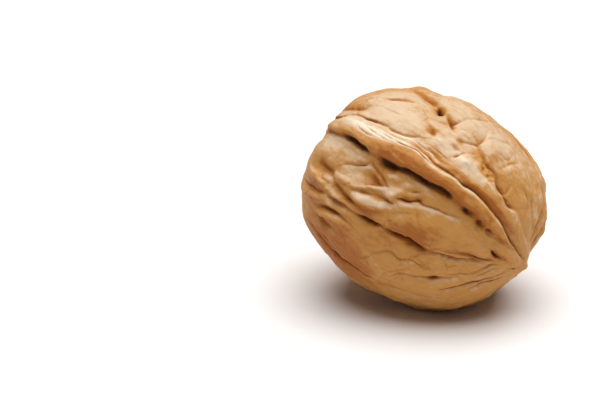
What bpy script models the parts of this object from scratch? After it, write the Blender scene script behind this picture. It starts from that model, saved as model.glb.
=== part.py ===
"""A walnut in its shell, lying on its cheek: one grown solid, with nothing inside.

Lengths are in millimetres until the mesh is written in metres, and angles are in degrees.
A place on the nut is two angles. Down runs from the tip (0) to the stem end (180). Round runs
from the front seam (0) over the right cheek (90) to the back seam (180), and over the left
cheek as minus values. The nut's own axes are +X to the tip, +Y to the right cheek and +Z to
the front seam.
"""
from typing import NamedTuple

import bpy
import numpy as np
from mathutils import Vector, noise

# Size of the smooth nut under its relief
TIP_REACH = 19.4
STEM_REACH = 19.4
SEAM_RADIUS = 16.4
CHEEK_RADIUS = 16.8
TAPER = 0.07
CHEEK_SHEAR = 0.045
TIP_FULLNESS = 0.03
STEM_FULLNESS = 0.06

# How it lies
ROLL = 35.4
PITCH = 23.2
REST_CUT = 0.6

# Mesh
METRES = 0.001
BALL_SUBDIVISIONS = 7
TRIANGLES = 11400
SHELL_COLOUR = (0.46, 0.26, 0.12, 1.0)
SHELL_ROUGHNESS = 0.55


class Furrow(NamedTuple):
    """A groove along rows of (down, round, depth, half width), from the stem end towards the tip."""
    rows: list
    bank: float = 0.0
    lean: float = 0.0
    lip: float = 0.0


class Swell(NamedTuple):
    """A soft rise, or a hollow where its height is below zero."""
    down: float
    round: float
    long: float
    cross: float
    height: float


# Ridges along rows of (down, round, height, half width)
RIDGES = [
    # front seam: one bold ridge from the stem end, between the fold above it and the long furrow below
    [(168, -8, 0.2, 2.2), (150, -12, 0.7, 2.2), (130, -10, 1.2, 2.3), (113, -9, 1.4, 2.4),
     (98, -9, 1.4, 2.4), (84, -7, 1.4, 2.1), (70, -5, 1.3, 1.9), (55, -4, 1.0, 1.7), (38, -4, 0.7, 1.5),
     (22, -5, 0.35, 1.2), (12, -8, 0.15, 1.0)],
    # its second lip, right of the hairline
    [(94, 7, 0.2, 1.2), (84, 7, 0.5, 1.3), (74, 8, 0.7, 1.4), (65, 8, 0.8, 1.4), (55, 9, 0.8, 1.3),
     (44, 11, 0.8, 1.2), (34, 14, 0.6, 1.0), (24, 18, 0.4, 0.9), (14, 26, 0.25, 0.8), (7, 50, 0.1, 0.7)],
    # back seam
    [(168, 176, 0.5, 2.2), (140, 178, 1.0, 2.6), (100, 181, 1.2, 2.8), (60, 179, 1.0, 2.4),
     (36, 180, 0.5, 2.0), (20, 180, 0.2, 1.6)],
    # small ridges between the folds of the left cheek
    [(140, -52, 0.1, 0.9), (134, -50, 0.5, 0.8), (128, -49, 0.9, 0.6), (122, -47, 0.9, 0.5),
     (117, -48, 0.3, 0.45)],
    [(138, -74, 0.1, 0.7), (131, -66, 0.5, 0.6), (124, -60, 0.9, 0.5), (119, -57, 0.8, 0.45),
     (114, -54, 0.5, 0.4), (109, -54, 0.2, 0.4)],
    [(129, -45, 0.2, 0.5), (125, -44, 0.5, 0.45), (121, -44, 0.6, 0.4), (117, -45, 0.2, 0.4)],
    [(120, -40, 0.1, 0.5), (116, -39, 0.45, 0.5), (112, -38, 0.5, 0.5), (108, -37, 0.4, 0.5),
     (104, -36, 0.15, 0.45)],
    [(116, -50, 0.2, 0.4), (112, -48.5, 0.6, 0.42), (108, -48, 0.6, 0.42), (104, -47.5, 0.5, 0.4),
     (100, -47, 0.3, 0.4)],
    [(118, -61, 0.1, 0.4), (113, -56.5, 0.35, 0.42), (108, -54, 0.35, 0.4), (103, -53, 0.25, 0.4),
     (99, -52, 0.1, 0.4)],
    [(116, -66, 0.3, 0.5), (112, -62.5, 0.8, 0.5), (108, -60, 0.9, 0.5), (103, -58.5, 0.8, 0.5),
     (98, -58.5, 0.3, 0.5)],
    [(83, -69, 0.1, 0.3), (80, -73, 0.25, 0.35), (77, -77, 0.25, 0.35), (78, -84, 0.1, 0.3)],
    # the pale shelf at the foot of the folds
    [(105, -36.5, 0.2, 0.4), (101, -34, 0.4, 0.4), (97, -31, 0.4, 0.4), (92, -28, 0.2, 0.4)],
]

FURROWS = [
    # hairline where the halves meet: front, with the crest of the ridge standing over it, and back
    Furrow([(166, -4, 0.2, 0.2), (130, -6, 0.2, 0.18), (118, -4, 0.35, 0.18), (110, -3, 0.4, 0.18),
            (103, -3, 0.4, 0.18), (98, -1, 0.3, 0.18), (94, 0, 0.4, 0.2), (90, -0.5, 0.4, 0.22),
            (86, -1, 0.6, 0.26), (82, -2, 0.8, 0.3), (76, -1, 0.9, 0.3), (69, -0.5, 0.9, 0.28),
            (63, 0.5, 0.9, 0.26), (56, 2, 0.8, 0.24), (50, 1.5, 0.8, 0.24), (44, 1.5, 0.8, 0.24),
            (37, 0.5, 0.9, 0.24), (30, -0.5, 1.0, 0.24), (24, 0.5, 0.8, 0.22), (16, 5, 0.5, 0.22),
            (10, 15, 0.3, 0.2), (5, 50, 0.1, 0.2)], bank=-0.3),
    Furrow([(166, 178, 0.3, 0.25), (130, 181, 0.5, 0.25), (95, 179, 0.7, 0.3), (60, 181, 0.7, 0.3),
            (36, 179, 0.5, 0.3), (20, 182, 0.2, 0.25)], bank=0.15),
    # undercut furrow along the lower side of the front seam
    Furrow([(160, -26, 0.2, 0.4), (145, -22.5, 0.5, 0.35), (136, -20, 0.6, 0.3), (130, -19, 0.6, 0.28),
            (126, -18, 1.2, 0.26), (122, -17.5, 1.9, 0.28), (118, -17.5, 2.1, 0.28),
            (114, -17.5, 1.9, 0.28), (111, -17, 1.3, 0.28), (108, -17, 0.6, 0.28), (105, -17, 0.4, 0.3),
            (102.5, -17, 0.8, 0.42), (100.5, -17.5, 1.7, 0.56), (98, -17.5, 2.3, 0.62),
            (95, -17, 2.2, 0.54), (92, -15.5, 1.6, 0.34), (89, -14, 2.0, 0.3), (84, -13.5, 2.2, 0.3),
            (80, -13, 2.2, 0.3), (76, -12, 2.1, 0.3), (72, -11, 2.0, 0.3), (69, -10.5, 1.8, 0.28),
            (66, -10.5, 0.8, 0.28), (62, -10.5, 0.7, 0.3), (58, -10.5, 1.0, 0.28), (55, -9.5, 1.0, 0.3),
            (51, -10.5, 0.7, 0.28), (48, -11, 1.1, 0.28), (45, -11, 0.5, 0.25), (42, -11, 0.7, 0.24),
            (39, -11, 0.6, 0.24), (35, -9, 0.4, 0.22),
            (30, -7, 0.2, 0.2)], bank=0.4, lean=0.35, lip=0.06),
    # fold above the ridge near the stem end, and the tongue that runs on from it
    Furrow([(158, -10, 0.3, 0.28), (146, -9, 0.5, 0.26), (138, -7.5, 0.5, 0.25), (134, -4, 0.25, 0.22),
            (129, -2, 0.35, 0.22), (122, -1.5, 0.55, 0.2), (116, -0.5, 0.6, 0.2),
            (111, 0, 0.3, 0.2)], bank=0.2),
    Furrow([(110, 0.5, 0.2, 0.18), (107, 0, 0.35, 0.18), (103, 0.5, 0.4, 0.18), (100, 2, 0.4, 0.18),
            (96, 5, 0.25, 0.18)], bank=0.1),
    # right border of the second lip, with its pits
    Furrow([(60, 21, 0.4, 0.3), (58, 20, 0.7, 0.33), (54, 18, 1.2, 0.35), (50, 17.5, 0.9, 0.33),
            (47, 17, 1.5, 0.36), (44, 17, 1.3, 0.33), (40, 22, 0.3, 0.3), (36, 24, 0.2, 0.3),
            (29, 26, 0.2, 0.3), (21, 36, 0.2, 0.3), (14, 44, 0.1, 0.3)], bank=-0.3, lip=0.05),
    # soft valley between the rim and the broad lobe by the stem end, and the crease at its end
    Furrow([(156, 3, 0.4, 0.5), (150, 5, 0.7, 0.55), (144, 5.5, 0.85, 0.55), (137, 5.5, 0.9, 0.6),
            (131, 6.5, 0.7, 0.65), (128, 11, 0.4, 0.6), (127, 18, 0.2, 0.5)], bank=0.1),
    Furrow([(126, 20, 0.2, 0.25), (123, 21, 0.6, 0.24), (120, 23.5, 0.5, 0.22), (116, 24.5, 0.3, 0.22),
            (111, 26, 0.2, 0.22)], bank=0.15),
    # cleft between the rim and the lobes, ending in a dark pit
    Furrow([(125, 46, 0.3, 0.5), (121, 44, 0.7, 0.52), (116, 41, 1.1, 0.55), (112, 38.5, 1.5, 0.58),
            (108, 36.5, 1.6, 0.52), (104, 33, 0.6, 0.45)], bank=0.25),
    Furrow([(103, 31.5, 0.3, 0.32), (101, 30.5, 2.0, 0.36), (99, 29, 2.2, 0.38), (97, 28.5, 0.3, 0.3)]),
    Furrow([(96, 29, 0.3, 0.3), (94, 27.5, 0.8, 0.3), (92, 26.5, 1.0, 0.32), (90, 24.5, 0.9, 0.36),
            (88, 23, 0.3, 0.35)]),
    # round lobes on the upper right
    Furrow([(92.5, 26, 0.4, 0.25), (90.5, 28, 0.45, 0.22), (89.5, 32, 0.35, 0.2), (89, 36, 0.3, 0.2),
            (88, 40, 0.3, 0.2), (86.5, 44, 0.3, 0.2), (85, 50, 0.2, 0.2), (82, 58, 0.1, 0.2)]),
    Furrow([(83, 20, 0.2, 0.26), (80, 22.5, 0.35, 0.24), (78, 25, 0.4, 0.24), (76.5, 27, 0.4, 0.22),
            (76.5, 31, 0.3, 0.2), (77.5, 35, 0.25, 0.2), (79.5, 41, 0.15, 0.2)], bank=0.05),
    Furrow([(77.5, 28, 0.3, 0.25), (75.5, 26.5, 0.45, 0.26), (73.5, 25, 0.4, 0.28), (70, 23.5, 0.6, 0.28),
            (67, 22, 0.55, 0.28), (64, 23, 0.5, 0.26), (60, 23, 0.5, 0.26),
            (57, 21, 0.3, 0.28)], bank=0.08),
    Furrow([(76, 29, 0.2, 0.2), (76, 34, 0.25, 0.2), (75, 41, 0.25, 0.2), (71, 49, 0.2, 0.2),
            (66, 57, 0.15, 0.2)]),
    Furrow([(68, 33, 0.1, 0.2), (65, 36, 0.2, 0.2), (63, 39, 0.2, 0.2), (64, 44, 0.1, 0.2)]),
    Furrow([(79, 7.5, 0.2, 0.24), (78, 10, 0.7, 0.26), (77.5, 13, 0.5, 0.24), (76, 17, 0.3, 0.2),
            (74, 20, 0.2, 0.2)]),
    Furrow([(99, 16, 0.3, 0.36), (96, 14.5, 0.8, 0.42), (93.5, 13, 1.2, 0.48), (91, 10.5, 0.4, 0.4)]),
    Furrow([(97, 21, 0.2, 0.2), (95, 22, 0.4, 0.2), (92, 23, 0.3, 0.2)]),
    # right cheek
    Furrow([(61, 28, 0.1, 0.25), (61, 34, 0.25, 0.25), (61, 40, 0.25, 0.25), (60, 47, 0.1, 0.25)]),
    Furrow([(52, 30, 0.15, 0.22), (51, 26, 0.35, 0.22), (50, 22, 0.4, 0.22), (51, 18, 0.4, 0.22)]),
    Furrow([(47, 40, 0.2, 0.22), (42, 42, 0.4, 0.22), (38, 40, 0.4, 0.22), (33, 35, 0.2, 0.22)]),
    Furrow([(52, 66, 0.2, 0.3), (43, 68, 0.6, 0.33), (38, 73, 0.8, 0.35), (33, 73, 0.8, 0.35),
            (27, 72, 0.7, 0.33), (21, 70, 0.5, 0.3), (15, 62, 0.2, 0.3)]),
    Furrow([(44, 85, 0.2, 0.3), (36, 88, 0.6, 0.33), (29, 88, 0.7, 0.35), (22, 86, 0.5, 0.33),
            (15, 78, 0.2, 0.3)]),
    Furrow([(40, 102, 0.2, 0.3), (35, 101, 0.6, 0.33), (29, 100, 0.6, 0.33), (23, 98, 0.4, 0.3),
            (16, 92, 0.2, 0.3)]),
    Furrow([(46, 46, 0.2, 0.22), (38, 47, 0.5, 0.25), (31, 47, 0.5, 0.25), (23, 50, 0.3, 0.22)]),
    Furrow([(47, 58, 0.2, 0.22), (40, 57, 0.4, 0.24), (32, 58, 0.4, 0.24), (25, 60, 0.3, 0.22),
            (18, 58, 0.2, 0.2)]),
    # second long furrow: thin at first, a lens, a notch, a long gash, then two thin lines
    Furrow([(116, -54, 0.2, 0.22), (112, -51.5, 0.5, 0.24), (109, -50.5, 0.7, 0.26),
            (106, -50, 0.7, 0.26), (102, -49.5, 0.4, 0.22), (99, -49, 0.4, 0.22),
            (96.5, -49.5, 0.9, 0.28), (94, -49.5, 1.9, 0.35), (91, -49.5, 2.2, 0.37),
            (88, -48.5, 1.8, 0.32), (85.5, -47, 0.9, 0.26), (83.5, -47, 0.45, 0.22),
            (81.5, -47, 0.9, 0.25), (79, -47, 1.4, 0.28), (76, -46.5, 1.5, 0.28), (73, -46.5, 1.7, 0.3),
            (71, -46.5, 2.2, 0.38), (68, -47, 2.1, 0.35), (65, -47, 1.9, 0.33), (62.5, -46.5, 1.0, 0.28),
            (60, -45.5, 0.5, 0.24), (57, -45, 0.3, 0.22), (54, -45, 0.5, 0.22), (50, -43.5, 0.6, 0.22),
            (46, -43, 0.5, 0.22), (42, -41, 0.4, 0.2), (37, -39, 0.3, 0.2),
            (32, -38, 0.2, 0.2)], bank=0.12, lean=0.2),
    Furrow([(59, -44, 0.2, 0.2), (56, -42, 0.35, 0.2), (50, -39, 0.4, 0.2), (44, -36.5, 0.7, 0.22),
            (40, -36, 0.9, 0.22), (35, -35.5, 0.6, 0.2), (31, -33, 0.35, 0.2),
            (25, -31, 0.2, 0.2)], bank=0.12),
    # folds of the left cheek
    Furrow([(118, -63, 0.3, 0.26), (114, -59.5, 0.7, 0.3), (110, -57.5, 0.9, 0.3), (106, -56.5, 0.8, 0.3),
            (102, -56, 0.5, 0.28), (97, -56.5, 0.2, 0.25)], bank=0.1),
    Furrow([(119, -72, 0.3, 0.45), (114, -68, 0.8, 0.45), (109, -67, 0.8, 0.45), (104, -66, 0.3, 0.45)]),
    Furrow([(138, -66.5, 0.2, 0.33), (132, -62, 0.5, 0.36), (127, -58.5, 0.65, 0.38),
            (122, -56, 0.65, 0.38), (118, -52.5, 0.35, 0.33), (115, -50, 0.15, 0.3)], bank=0.1),
    Furrow([(125, -45.5, 0.2, 0.28), (122, -46, 0.5, 0.28), (119, -46, 0.6, 0.28),
            (116, -48, 0.3, 0.28)]),
    # ledges and folds between the seam and the second furrow
    Furrow([(115, -30, 0.2, 0.18), (113, -28, 0.45, 0.18), (110, -26, 0.6, 0.2), (107, -23, 0.5, 0.22),
            (105, -20, 0.2, 0.22)], bank=0.18),
    Furrow([(105, -20, 0.2, 0.3), (102, -22, 0.7, 0.33), (98, -23.5, 0.8, 0.33), (95, -25, 0.7, 0.3),
            (92, -26.5, 0.3, 0.25)], bank=0.15),
    Furrow([(107, -37, 0.1, 0.2), (104, -35, 0.3, 0.2), (101, -33, 0.4, 0.2), (99, -31, 0.5, 0.22),
            (95, -28, 0.45, 0.22), (92, -26.5, 0.2, 0.2)], bank=-0.12),
    Furrow([(104, -38.5, 0.3, 0.35), (100, -37, 0.8, 0.4), (97, -35.5, 0.9, 0.42), (93, -34, 0.9, 0.4),
            (89.5, -32.5, 0.8, 0.33), (87, -31.5, 0.3, 0.28)], bank=-0.1),
    Furrow([(92, -35, 0.2, 0.28), (89, -33, 0.5, 0.28), (86, -32, 0.5, 0.28), (84, -31, 0.2, 0.28)]),
    Furrow([(105, -45, 0.1, 0.7), (99, -43.5, 0.25, 0.7), (94, -42.5, 0.25, 0.7), (89, -39.5, 0.2, 0.6),
            (84, -36, 0.1, 0.6)], bank=0.6),
    Furrow([(86, -29, 0.3, 0.25), (84, -27.5, 0.7, 0.26), (81, -26.5, 0.9, 0.28), (79, -24.5, 0.7, 0.26),
            (77, -22.5, 0.9, 0.28), (75, -23, 0.6, 0.26), (72, -22, 0.5, 0.25), (68, -20.5, 0.5, 0.24),
            (63, -19.5, 0.4, 0.22), (58, -17, 0.2, 0.2)], bank=0.1, lip=0.06),
    Furrow([(82, -21, 0.2, 0.22), (80, -19, 0.5, 0.22), (78, -18, 0.2, 0.22)]),
    # third long furrow, low on the left cheek
    Furrow([(120, -79, 0.2, 0.3), (114, -79.5, 0.6, 0.36), (110, -80, 0.8, 0.4), (106, -81.5, 1.1, 0.42),
            (103, -83, 1.2, 0.42), (100, -83.5, 1.2, 0.42), (96, -84.5, 1.1, 0.4), (93, -83.5, 1.1, 0.38),
            (90, -83.5, 1.0, 0.36), (87, -84.5, 0.9, 0.34), (84, -86, 0.8, 0.32), (81, -85.5, 0.5, 0.3),
            (77, -85, 0.2, 0.28)], bank=0.1, lean=-0.3),
    Furrow([(112, -75.5, 0.2, 0.2), (107, -76.5, 0.35, 0.22), (102, -78.5, 0.35, 0.22),
            (98, -80, 0.15, 0.2)]),
    # veins on the smooth lower cheek
    Furrow([(87, -72, 0.15, 0.2), (84, -68, 0.25, 0.2), (81, -63, 0.25, 0.2), (78, -59, 0.3, 0.2),
            (75, -57.5, 0.3, 0.2), (71, -59.5, 0.35, 0.2), (66, -57, 0.3, 0.2), (62, -58, 0.35, 0.2),
            (58, -59, 0.25, 0.2), (54, -57, 0.1, 0.2)], bank=0.06),
    Furrow([(66, -57, 0.1, 0.2), (64, -53, 0.25, 0.2), (63, -50, 0.25, 0.2), (60, -47, 0.1, 0.2)]),
    Furrow([(80, -68, 0.1, 0.22), (78, -72, 0.2, 0.22), (76, -75, 0.2, 0.22), (73, -72, 0.25, 0.22),
            (70, -69, 0.2, 0.22), (68, -65, 0.1, 0.22)]),
    Furrow([(72, -75, 0.2, 0.28), (69, -70.5, 0.3, 0.28), (66, -68.5, 0.35, 0.28), (61, -67.5, 0.4, 0.28),
            (57, -66.5, 0.4, 0.28), (54, -66, 0.8, 0.32), (52, -65, 1.0, 0.32), (50, -64, 0.5, 0.28),
            (44, -61, 0.15, 0.22)], bank=-0.06),
    Furrow([(76, -88, 0.2, 0.25), (70, -87.5, 0.4, 0.25), (65, -84, 0.2, 0.25)]),
    Furrow([(64, -87, 0.2, 0.22), (57, -88.5, 0.3, 0.22), (49, -89, 0.2, 0.22)]),
    Furrow([(75, -28, 0.2, 0.22), (72, -32, 0.3, 0.22), (69, -36, 0.25, 0.22), (67, -39, 0.1, 0.22)]),
    # grooves that run in to the tip
    Furrow([(48, -77, 0.3, 0.25), (42, -73, 0.7, 0.26), (37, -69.5, 0.9, 0.26), (32, -65.5, 0.9, 0.26),
            (29, -64, 0.8, 0.26), (26, -61, 0.7, 0.24), (22, -58, 0.5, 0.24),
            (16, -47, 0.3, 0.22)], bank=0.1),
    Furrow([(49, -60, 0.1, 0.2), (42, -57, 0.3, 0.2), (36, -54, 0.3, 0.2), (32, -49, 0.4, 0.2),
            (29, -44, 0.5, 0.22), (27, -38, 0.5, 0.22), (22, -34, 0.2, 0.2)]),
    Furrow([(33, -58, 0.2, 0.2), (28, -51, 0.4, 0.22), (25, -44, 0.4, 0.22), (22, -39, 0.2, 0.2)]),
    Furrow([(33, -22, 0.3, 0.26), (31, -23, 1.0, 0.32), (28, -25, 1.6, 0.3), (25, -25, 0.6, 0.26),
            (21, -23, 0.3, 0.2), (16, -22, 0.2, 0.2)]),
    Furrow([(16, -38, 0.1, 0.2), (12, -36, 0.3, 0.2), (8, -35, 0.35, 0.2), (5, -34, 0.15, 0.2)]),
    Furrow([(33, -76, 0.3, 0.25), (27, -71, 0.7, 0.25), (21, -70, 0.7, 0.25),
            (15, -65, 0.4, 0.22)], bank=0.1),
]

SWELLS = [
    # bounds of the outline: hips on the right limb, shoulders on the left
    Swell(42, 84, 20, 22, 1.2),
    Swell(118, -78, 26, 26, 0.8),
    Swell(157, -20, 12, 14, -0.8),
    Swell(151, -20, 6, 7, -0.4),
    Swell(68, 80, 18, 20, 0.42),
    Swell(118, 62, 22, 24, -0.5),
    Swell(24, 110, 14, 24, -0.4),
    Swell(16, 110, 8, 16, -0.3),
    Swell(18, -170, 12, 24, -0.7),
    Swell(50, -122, 24, 22, 0.7),
    Swell(20, 40, 12, 12, -0.5),
    Swell(151, 26, 12, 16, 0.5),
    Swell(133, 47, 4, 8, -0.25),
    Swell(122.5, 57, 5, 9, 0.4),
    Swell(114, 56, 6, 10, -0.65),
    Swell(98, 62, 6, 10, 0.2),
    Swell(86, 77, 6, 8, -0.2),
    Swell(45, 85, 5, 8, -0.45),
    Swell(33, 103, 7, 12, 0.45),
    Swell(112, -105, 12, 14, -0.25),
    Swell(144, -42, 7, 9, 0.35),
    # broad lobes
    Swell(124, 12, 16, 9, 0.5),
    Swell(103, 10, 10, 7, 0.4),
    Swell(104, 52, 14, 10, 0.3),
    Swell(84, 32, 6, 8, 0.5),
    Swell(70, 34, 7, 8, 0.5),
    Swell(56, 36, 8, 10, 0.3),
    Swell(95, 40, 5, 7, 0.3),
    Swell(132, -30, 13, 8, 0.9),
    Swell(67, -33, 18, 8, 0.5),
    Swell(70, -66, 26, 14, 0.3),
    Swell(45, -24, 14, 8, 0.2),
    # the plateau among the folds, and the round beads
    Swell(97, -39.5, 7, 3.2, 0.7),
    Swell(136, -42, 8, 8, 0.4),
    Swell(88, -29, 2.4, 2.4, 0.7),
    Swell(97, -25, 2, 2, 0.4),
    Swell(102, -24, 2, 1.8, 0.35),
    Swell(86, -25, 2.2, 2.2, 0.45),
    Swell(84, -20, 2.2, 2, 0.45),
    Swell(81, -17, 2, 2, 0.3),
    Swell(77, -17, 2.6, 2.2, 0.4),
    Swell(74, -18, 2.4, 2, 0.3),
    Swell(81, -23, 2.4, 1.8, 0.35),
    Swell(90, -20, 2.4, 2.2, 0.3),
    Swell(95, -21, 4, 2, 0.3),
    # hollows on the left cheek
    Swell(125.5, -42, 4, 3, -1.2),
    Swell(120, -40, 3.5, 2.5, -0.6),
    Swell(113, -44.5, 4.5, 2, -0.9),
    Swell(105, -45.5, 4, 2.2, -0.9),
    Swell(106, -29, 4, 3, -0.35),
    Swell(99, -28, 4, 2.5, -0.5),
    Swell(93, -40, 4, 3, -0.3),
    # small hills and pits between the second lip and the lobes
    Swell(91, 15, 3.5, 3, 0.4),
    Swell(88, 10, 3, 2.6, 0.35),
    Swell(84, 15, 3.4, 3, 0.35),
    Swell(81, 19, 2, 2, -0.35),
    Swell(80, 14, 1.8, 1.8, -0.35),
    Swell(78, 18, 1.6, 1.6, -0.3),
    Swell(72, 13, 5, 3.5, 0.4),
    Swell(66, 19, 1.3, 1.3, -0.5),
    Swell(63, 21, 1.2, 1.2, -0.5),
    Swell(65, 22, 1.2, 1.2, -0.4),
    Swell(61, 20, 1.2, 1.2, -0.4),
    Swell(68, 21, 1.2, 1.2, -0.3),
    Swell(65, 17.5, 1.2, 1.2, -0.35),
    Swell(62, 16.5, 1.2, 1.2, -0.35),
    Swell(59, 16, 1.2, 1.2, -0.3),
    # nib at the tip, round scar at the stem end
    Swell(3, 90, 9, 9, 0.1),
    Swell(3.5, 115, 2.4, 2.4, 0.45),
    Swell(180, 0, 9, 9, -0.9),
]

# Net of fine veins: where it is bold, as (down, round, reach, height of the net)
NET_HEIGHT = 0.16
NET_CELL = 3.4
NET_STRETCH = 0.55
NET_WARP = 0.8
NET_WARP_SIZE = 0.7
VEIN_GAP = 0.6
BOLD_NET = [
    (88, -22, 10, 0.30),
    (78, 14, 14, 0.20),
    (122, -48, 12, 0.10),
    (90, 40, 22, 0.12),
    (90, 140, 60, 0.25),
    (90, -140, 50, 0.20),
]
SMOOTH = [
    (60, -68, 30, 0.12),
    (124, 15, 18, 0.11),
    (62, -34, 16, 0.11),
    (100, -10, 14, 0.10),
]

# Sides that no one has seen: long wandering furrows drawn by a seeded rule
SEED = 7
HIDDEN_LANES = [78, 94, 110, 126, 142, 158, 166, 194, 206, 222, 236, 250]
HIDDEN_START = (150, 166)
HIDDEN_END = 22
HIDDEN_ROWS = (4, 8)
HIDDEN_DEPTH = (0.5, 1.5)
HIDDEN_ENDS = 0.3
HIDDEN_UNEVEN = (0.7, 1.1)
HIDDEN_WIDTH = (0.5, 0.8)
HIDDEN_STRIDE = (6, 10)
HIDDEN_SWAY = 4
HIDDEN_PULL = 0.15
HIDDEN_GAP = (2, 8)
HIDDEN_BANK = 0.3
HIDDEN_LEAN = 0.2
HIDDEN_LIP = 0.1
LANE_SPREAD = 3
TIP_CLEAR = 10
TIP_FADE = 20

# Section of a furrow: share and sharpness of the crack, and widths of the soft valley and of the lips
CRACK_SHARE = 0.75
CRACK_SHARPNESS = 1.3
VALLEY_WIDTHS = 2.5
LIP_AT = 2.4
LIP_WIDTHS = 1.2
BANK_REACH = 3.0
FULL_BANK_DEPTH = 0.6
CARVE_LIMIT = 3.2
NARROWEST = 0.4

# How finely a run is sampled, and how far a ridge, in half widths, and a furrow are felt
RUN_STEP = 0.2
FELT_WIDTHS = 4.0
FURROW_REACH = 6.0
BLOCK = 4096


def place(down, around):
    """Unit vectors in the nut's own axes."""
    down = np.radians(down)
    around = np.radians(around)
    return np.stack([np.cos(down), np.sin(down) * np.sin(around), np.sin(down) * np.cos(around)], axis=-1)


def unit(vectors):
    return vectors / np.linalg.norm(vectors, axis=-1, keepdims=True)


def smooth_nut(way):
    """The nut without relief: an egg, blunt at the stem end, with its right cheek set forward."""
    along, side, seam = way[..., 0], way[..., 1], way[..., 2]
    fullness = (TIP_FULLNESS * (1 + along) + STEM_FULLNESS * (1 - along)) / 2
    reach = np.where(along > 0, TIP_REACH, STEM_REACH)
    girth = 1 - TAPER * along
    x = reach * along * (1 + fullness * (1 - along ** 2)) + CHEEK_SHEAR * CHEEK_RADIUS * side
    return np.stack([x, CHEEK_RADIUS * side * girth, SEAM_RADIUS * seam * girth], axis=-1)


def outward(way):
    """Unit normals of the smooth nut, near enough for relief this low."""
    return unit(way / np.array([TIP_REACH, CHEEK_RADIUS, SEAM_RADIUS]))


def spot(way, down, around, long, cross):
    """A soft round mask, 1 at the place and falling to nothing past its two reaches, in degrees."""
    centre = place(down, around)
    to_stem = place(down + 90, around)
    across = np.cross(centre, to_stem)
    off_long = np.degrees(np.arctan2(way @ to_stem, way @ centre))
    off_cross = np.degrees(np.arctan2(way @ across, way @ centre))
    return np.exp(-(off_long / long) ** 2 - (off_cross / cross) ** 2) * (way @ centre > 0)


def smooth_run(rows):
    """Samples along a Catmull-Rom curve through the rows: place on the smooth nut, depth and width."""
    rows = np.array(rows, dtype=float)
    knots = np.hstack([place(rows[:, 0], rows[:, 1]), rows[:, 2:]])
    knots = np.vstack([2 * knots[0] - knots[1], knots, 2 * knots[-1] - knots[-2]])
    samples = []
    for a, b, c, d in zip(knots[:-3], knots[1:-2], knots[2:-1], knots[3:]):
        span = np.linalg.norm(smooth_nut(b[:3]) - smooth_nut(c[:3]))
        t = np.arange(0, 1, RUN_STEP / max(span, RUN_STEP))[:, None]
        samples.append(b + 0.5 * t * (c - a + t * (2 * a - 5 * b + 4 * c - d + t * (3 * (b - c) + d - a))))
    samples = np.vstack(samples + [knots[-2][None]])
    way = unit(samples[:, :3])
    return smooth_nut(way), outward(way), np.maximum(samples[:, 3:], 0)


def measure(points, rows, reach):
    """For the points within reach of a run: their signed distance, side direction, depth and width."""
    line, normal, size = smooth_run(rows)
    tangent = unit(np.gradient(line, axis=0))
    near = np.all((points > line.min(axis=0) - reach) & (points < line.max(axis=0) + reach), axis=1)
    near = np.flatnonzero(near)
    closest = np.empty(len(near), dtype=int)
    for start in range(0, len(near), BLOCK):
        block = points[near[start:start + BLOCK]]
        gap = ((block[:, None] - line[None]) ** 2).sum(axis=2)
        closest[start:start + BLOCK] = gap.argmin(axis=1)
    offset = points[near] - line[closest]
    slide = np.clip((offset * tangent[closest]).sum(axis=1, keepdims=True), -RUN_STEP / 2, RUN_STEP / 2)
    offset = offset - slide * tangent[closest]
    across = np.cross(normal[closest], tangent[closest])
    distance = np.linalg.norm(offset, axis=1) * np.sign((offset * across).sum(axis=1))
    keep = np.abs(distance) < reach
    return near[keep], distance[keep], across[keep], size[closest[keep]]


def hidden_furrows():
    """Wandering furrows in lanes along the unseen sides, each lane in several lengths with gaps."""
    rng = np.random.default_rng(SEED)
    furrows = []
    for lane in HIDDEN_LANES:
        down = rng.uniform(*HIDDEN_START)
        around = lane + rng.uniform(-LANE_SPREAD, LANE_SPREAD)
        while down > HIDDEN_END:
            count = int(rng.integers(*HIDDEN_ROWS))
            deep = rng.uniform(*HIDDEN_DEPTH)
            rows = []
            for index in range(count):
                fade = HIDDEN_ENDS if index in (0, count - 1) else rng.uniform(*HIDDEN_UNEVEN)
                fade *= min(max(down - TIP_CLEAR, 0) / TIP_FADE, 1)
                rows.append((down, around, deep * fade, rng.uniform(*HIDDEN_WIDTH)))
                down -= rng.uniform(*HIDDEN_STRIDE)
                around += rng.uniform(-HIDDEN_SWAY, HIDDEN_SWAY) + HIDDEN_PULL * (lane - around)
            bank = rng.uniform(-HIDDEN_BANK, HIDDEN_BANK)
            lean = rng.uniform(-HIDDEN_LEAN, HIDDEN_LEAN)
            furrows.append(Furrow(rows, bank, lean, HIDDEN_LIP))
            down -= rng.uniform(*HIDDEN_GAP)
    return furrows


def net(points, way):
    """Height of the net of fine veins: cells that stand up between sunken lines, longer along the nut."""
    bold = np.full(len(way), NET_HEIGHT)
    for down, around, reach, height in BOLD_NET:
        bold += height * spot(way, down, around, reach, reach)
    for down, around, reach, height in SMOOTH:
        bold -= height * spot(way, down, around, reach, reach)
    heights = np.empty(len(points))
    for index, point in enumerate(points):
        spread = Vector((point[0] * NET_STRETCH, point[1], point[2])) / NET_CELL
        warp = noise.noise_vector(spread * NET_WARP_SIZE) * NET_WARP
        nearest = noise.voronoi(spread + warp)[0]
        heights[index] = min(nearest[1] - nearest[0], VEIN_GAP)
    return (heights / VEIN_GAP - 0.5) * np.maximum(bold, 0)


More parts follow.
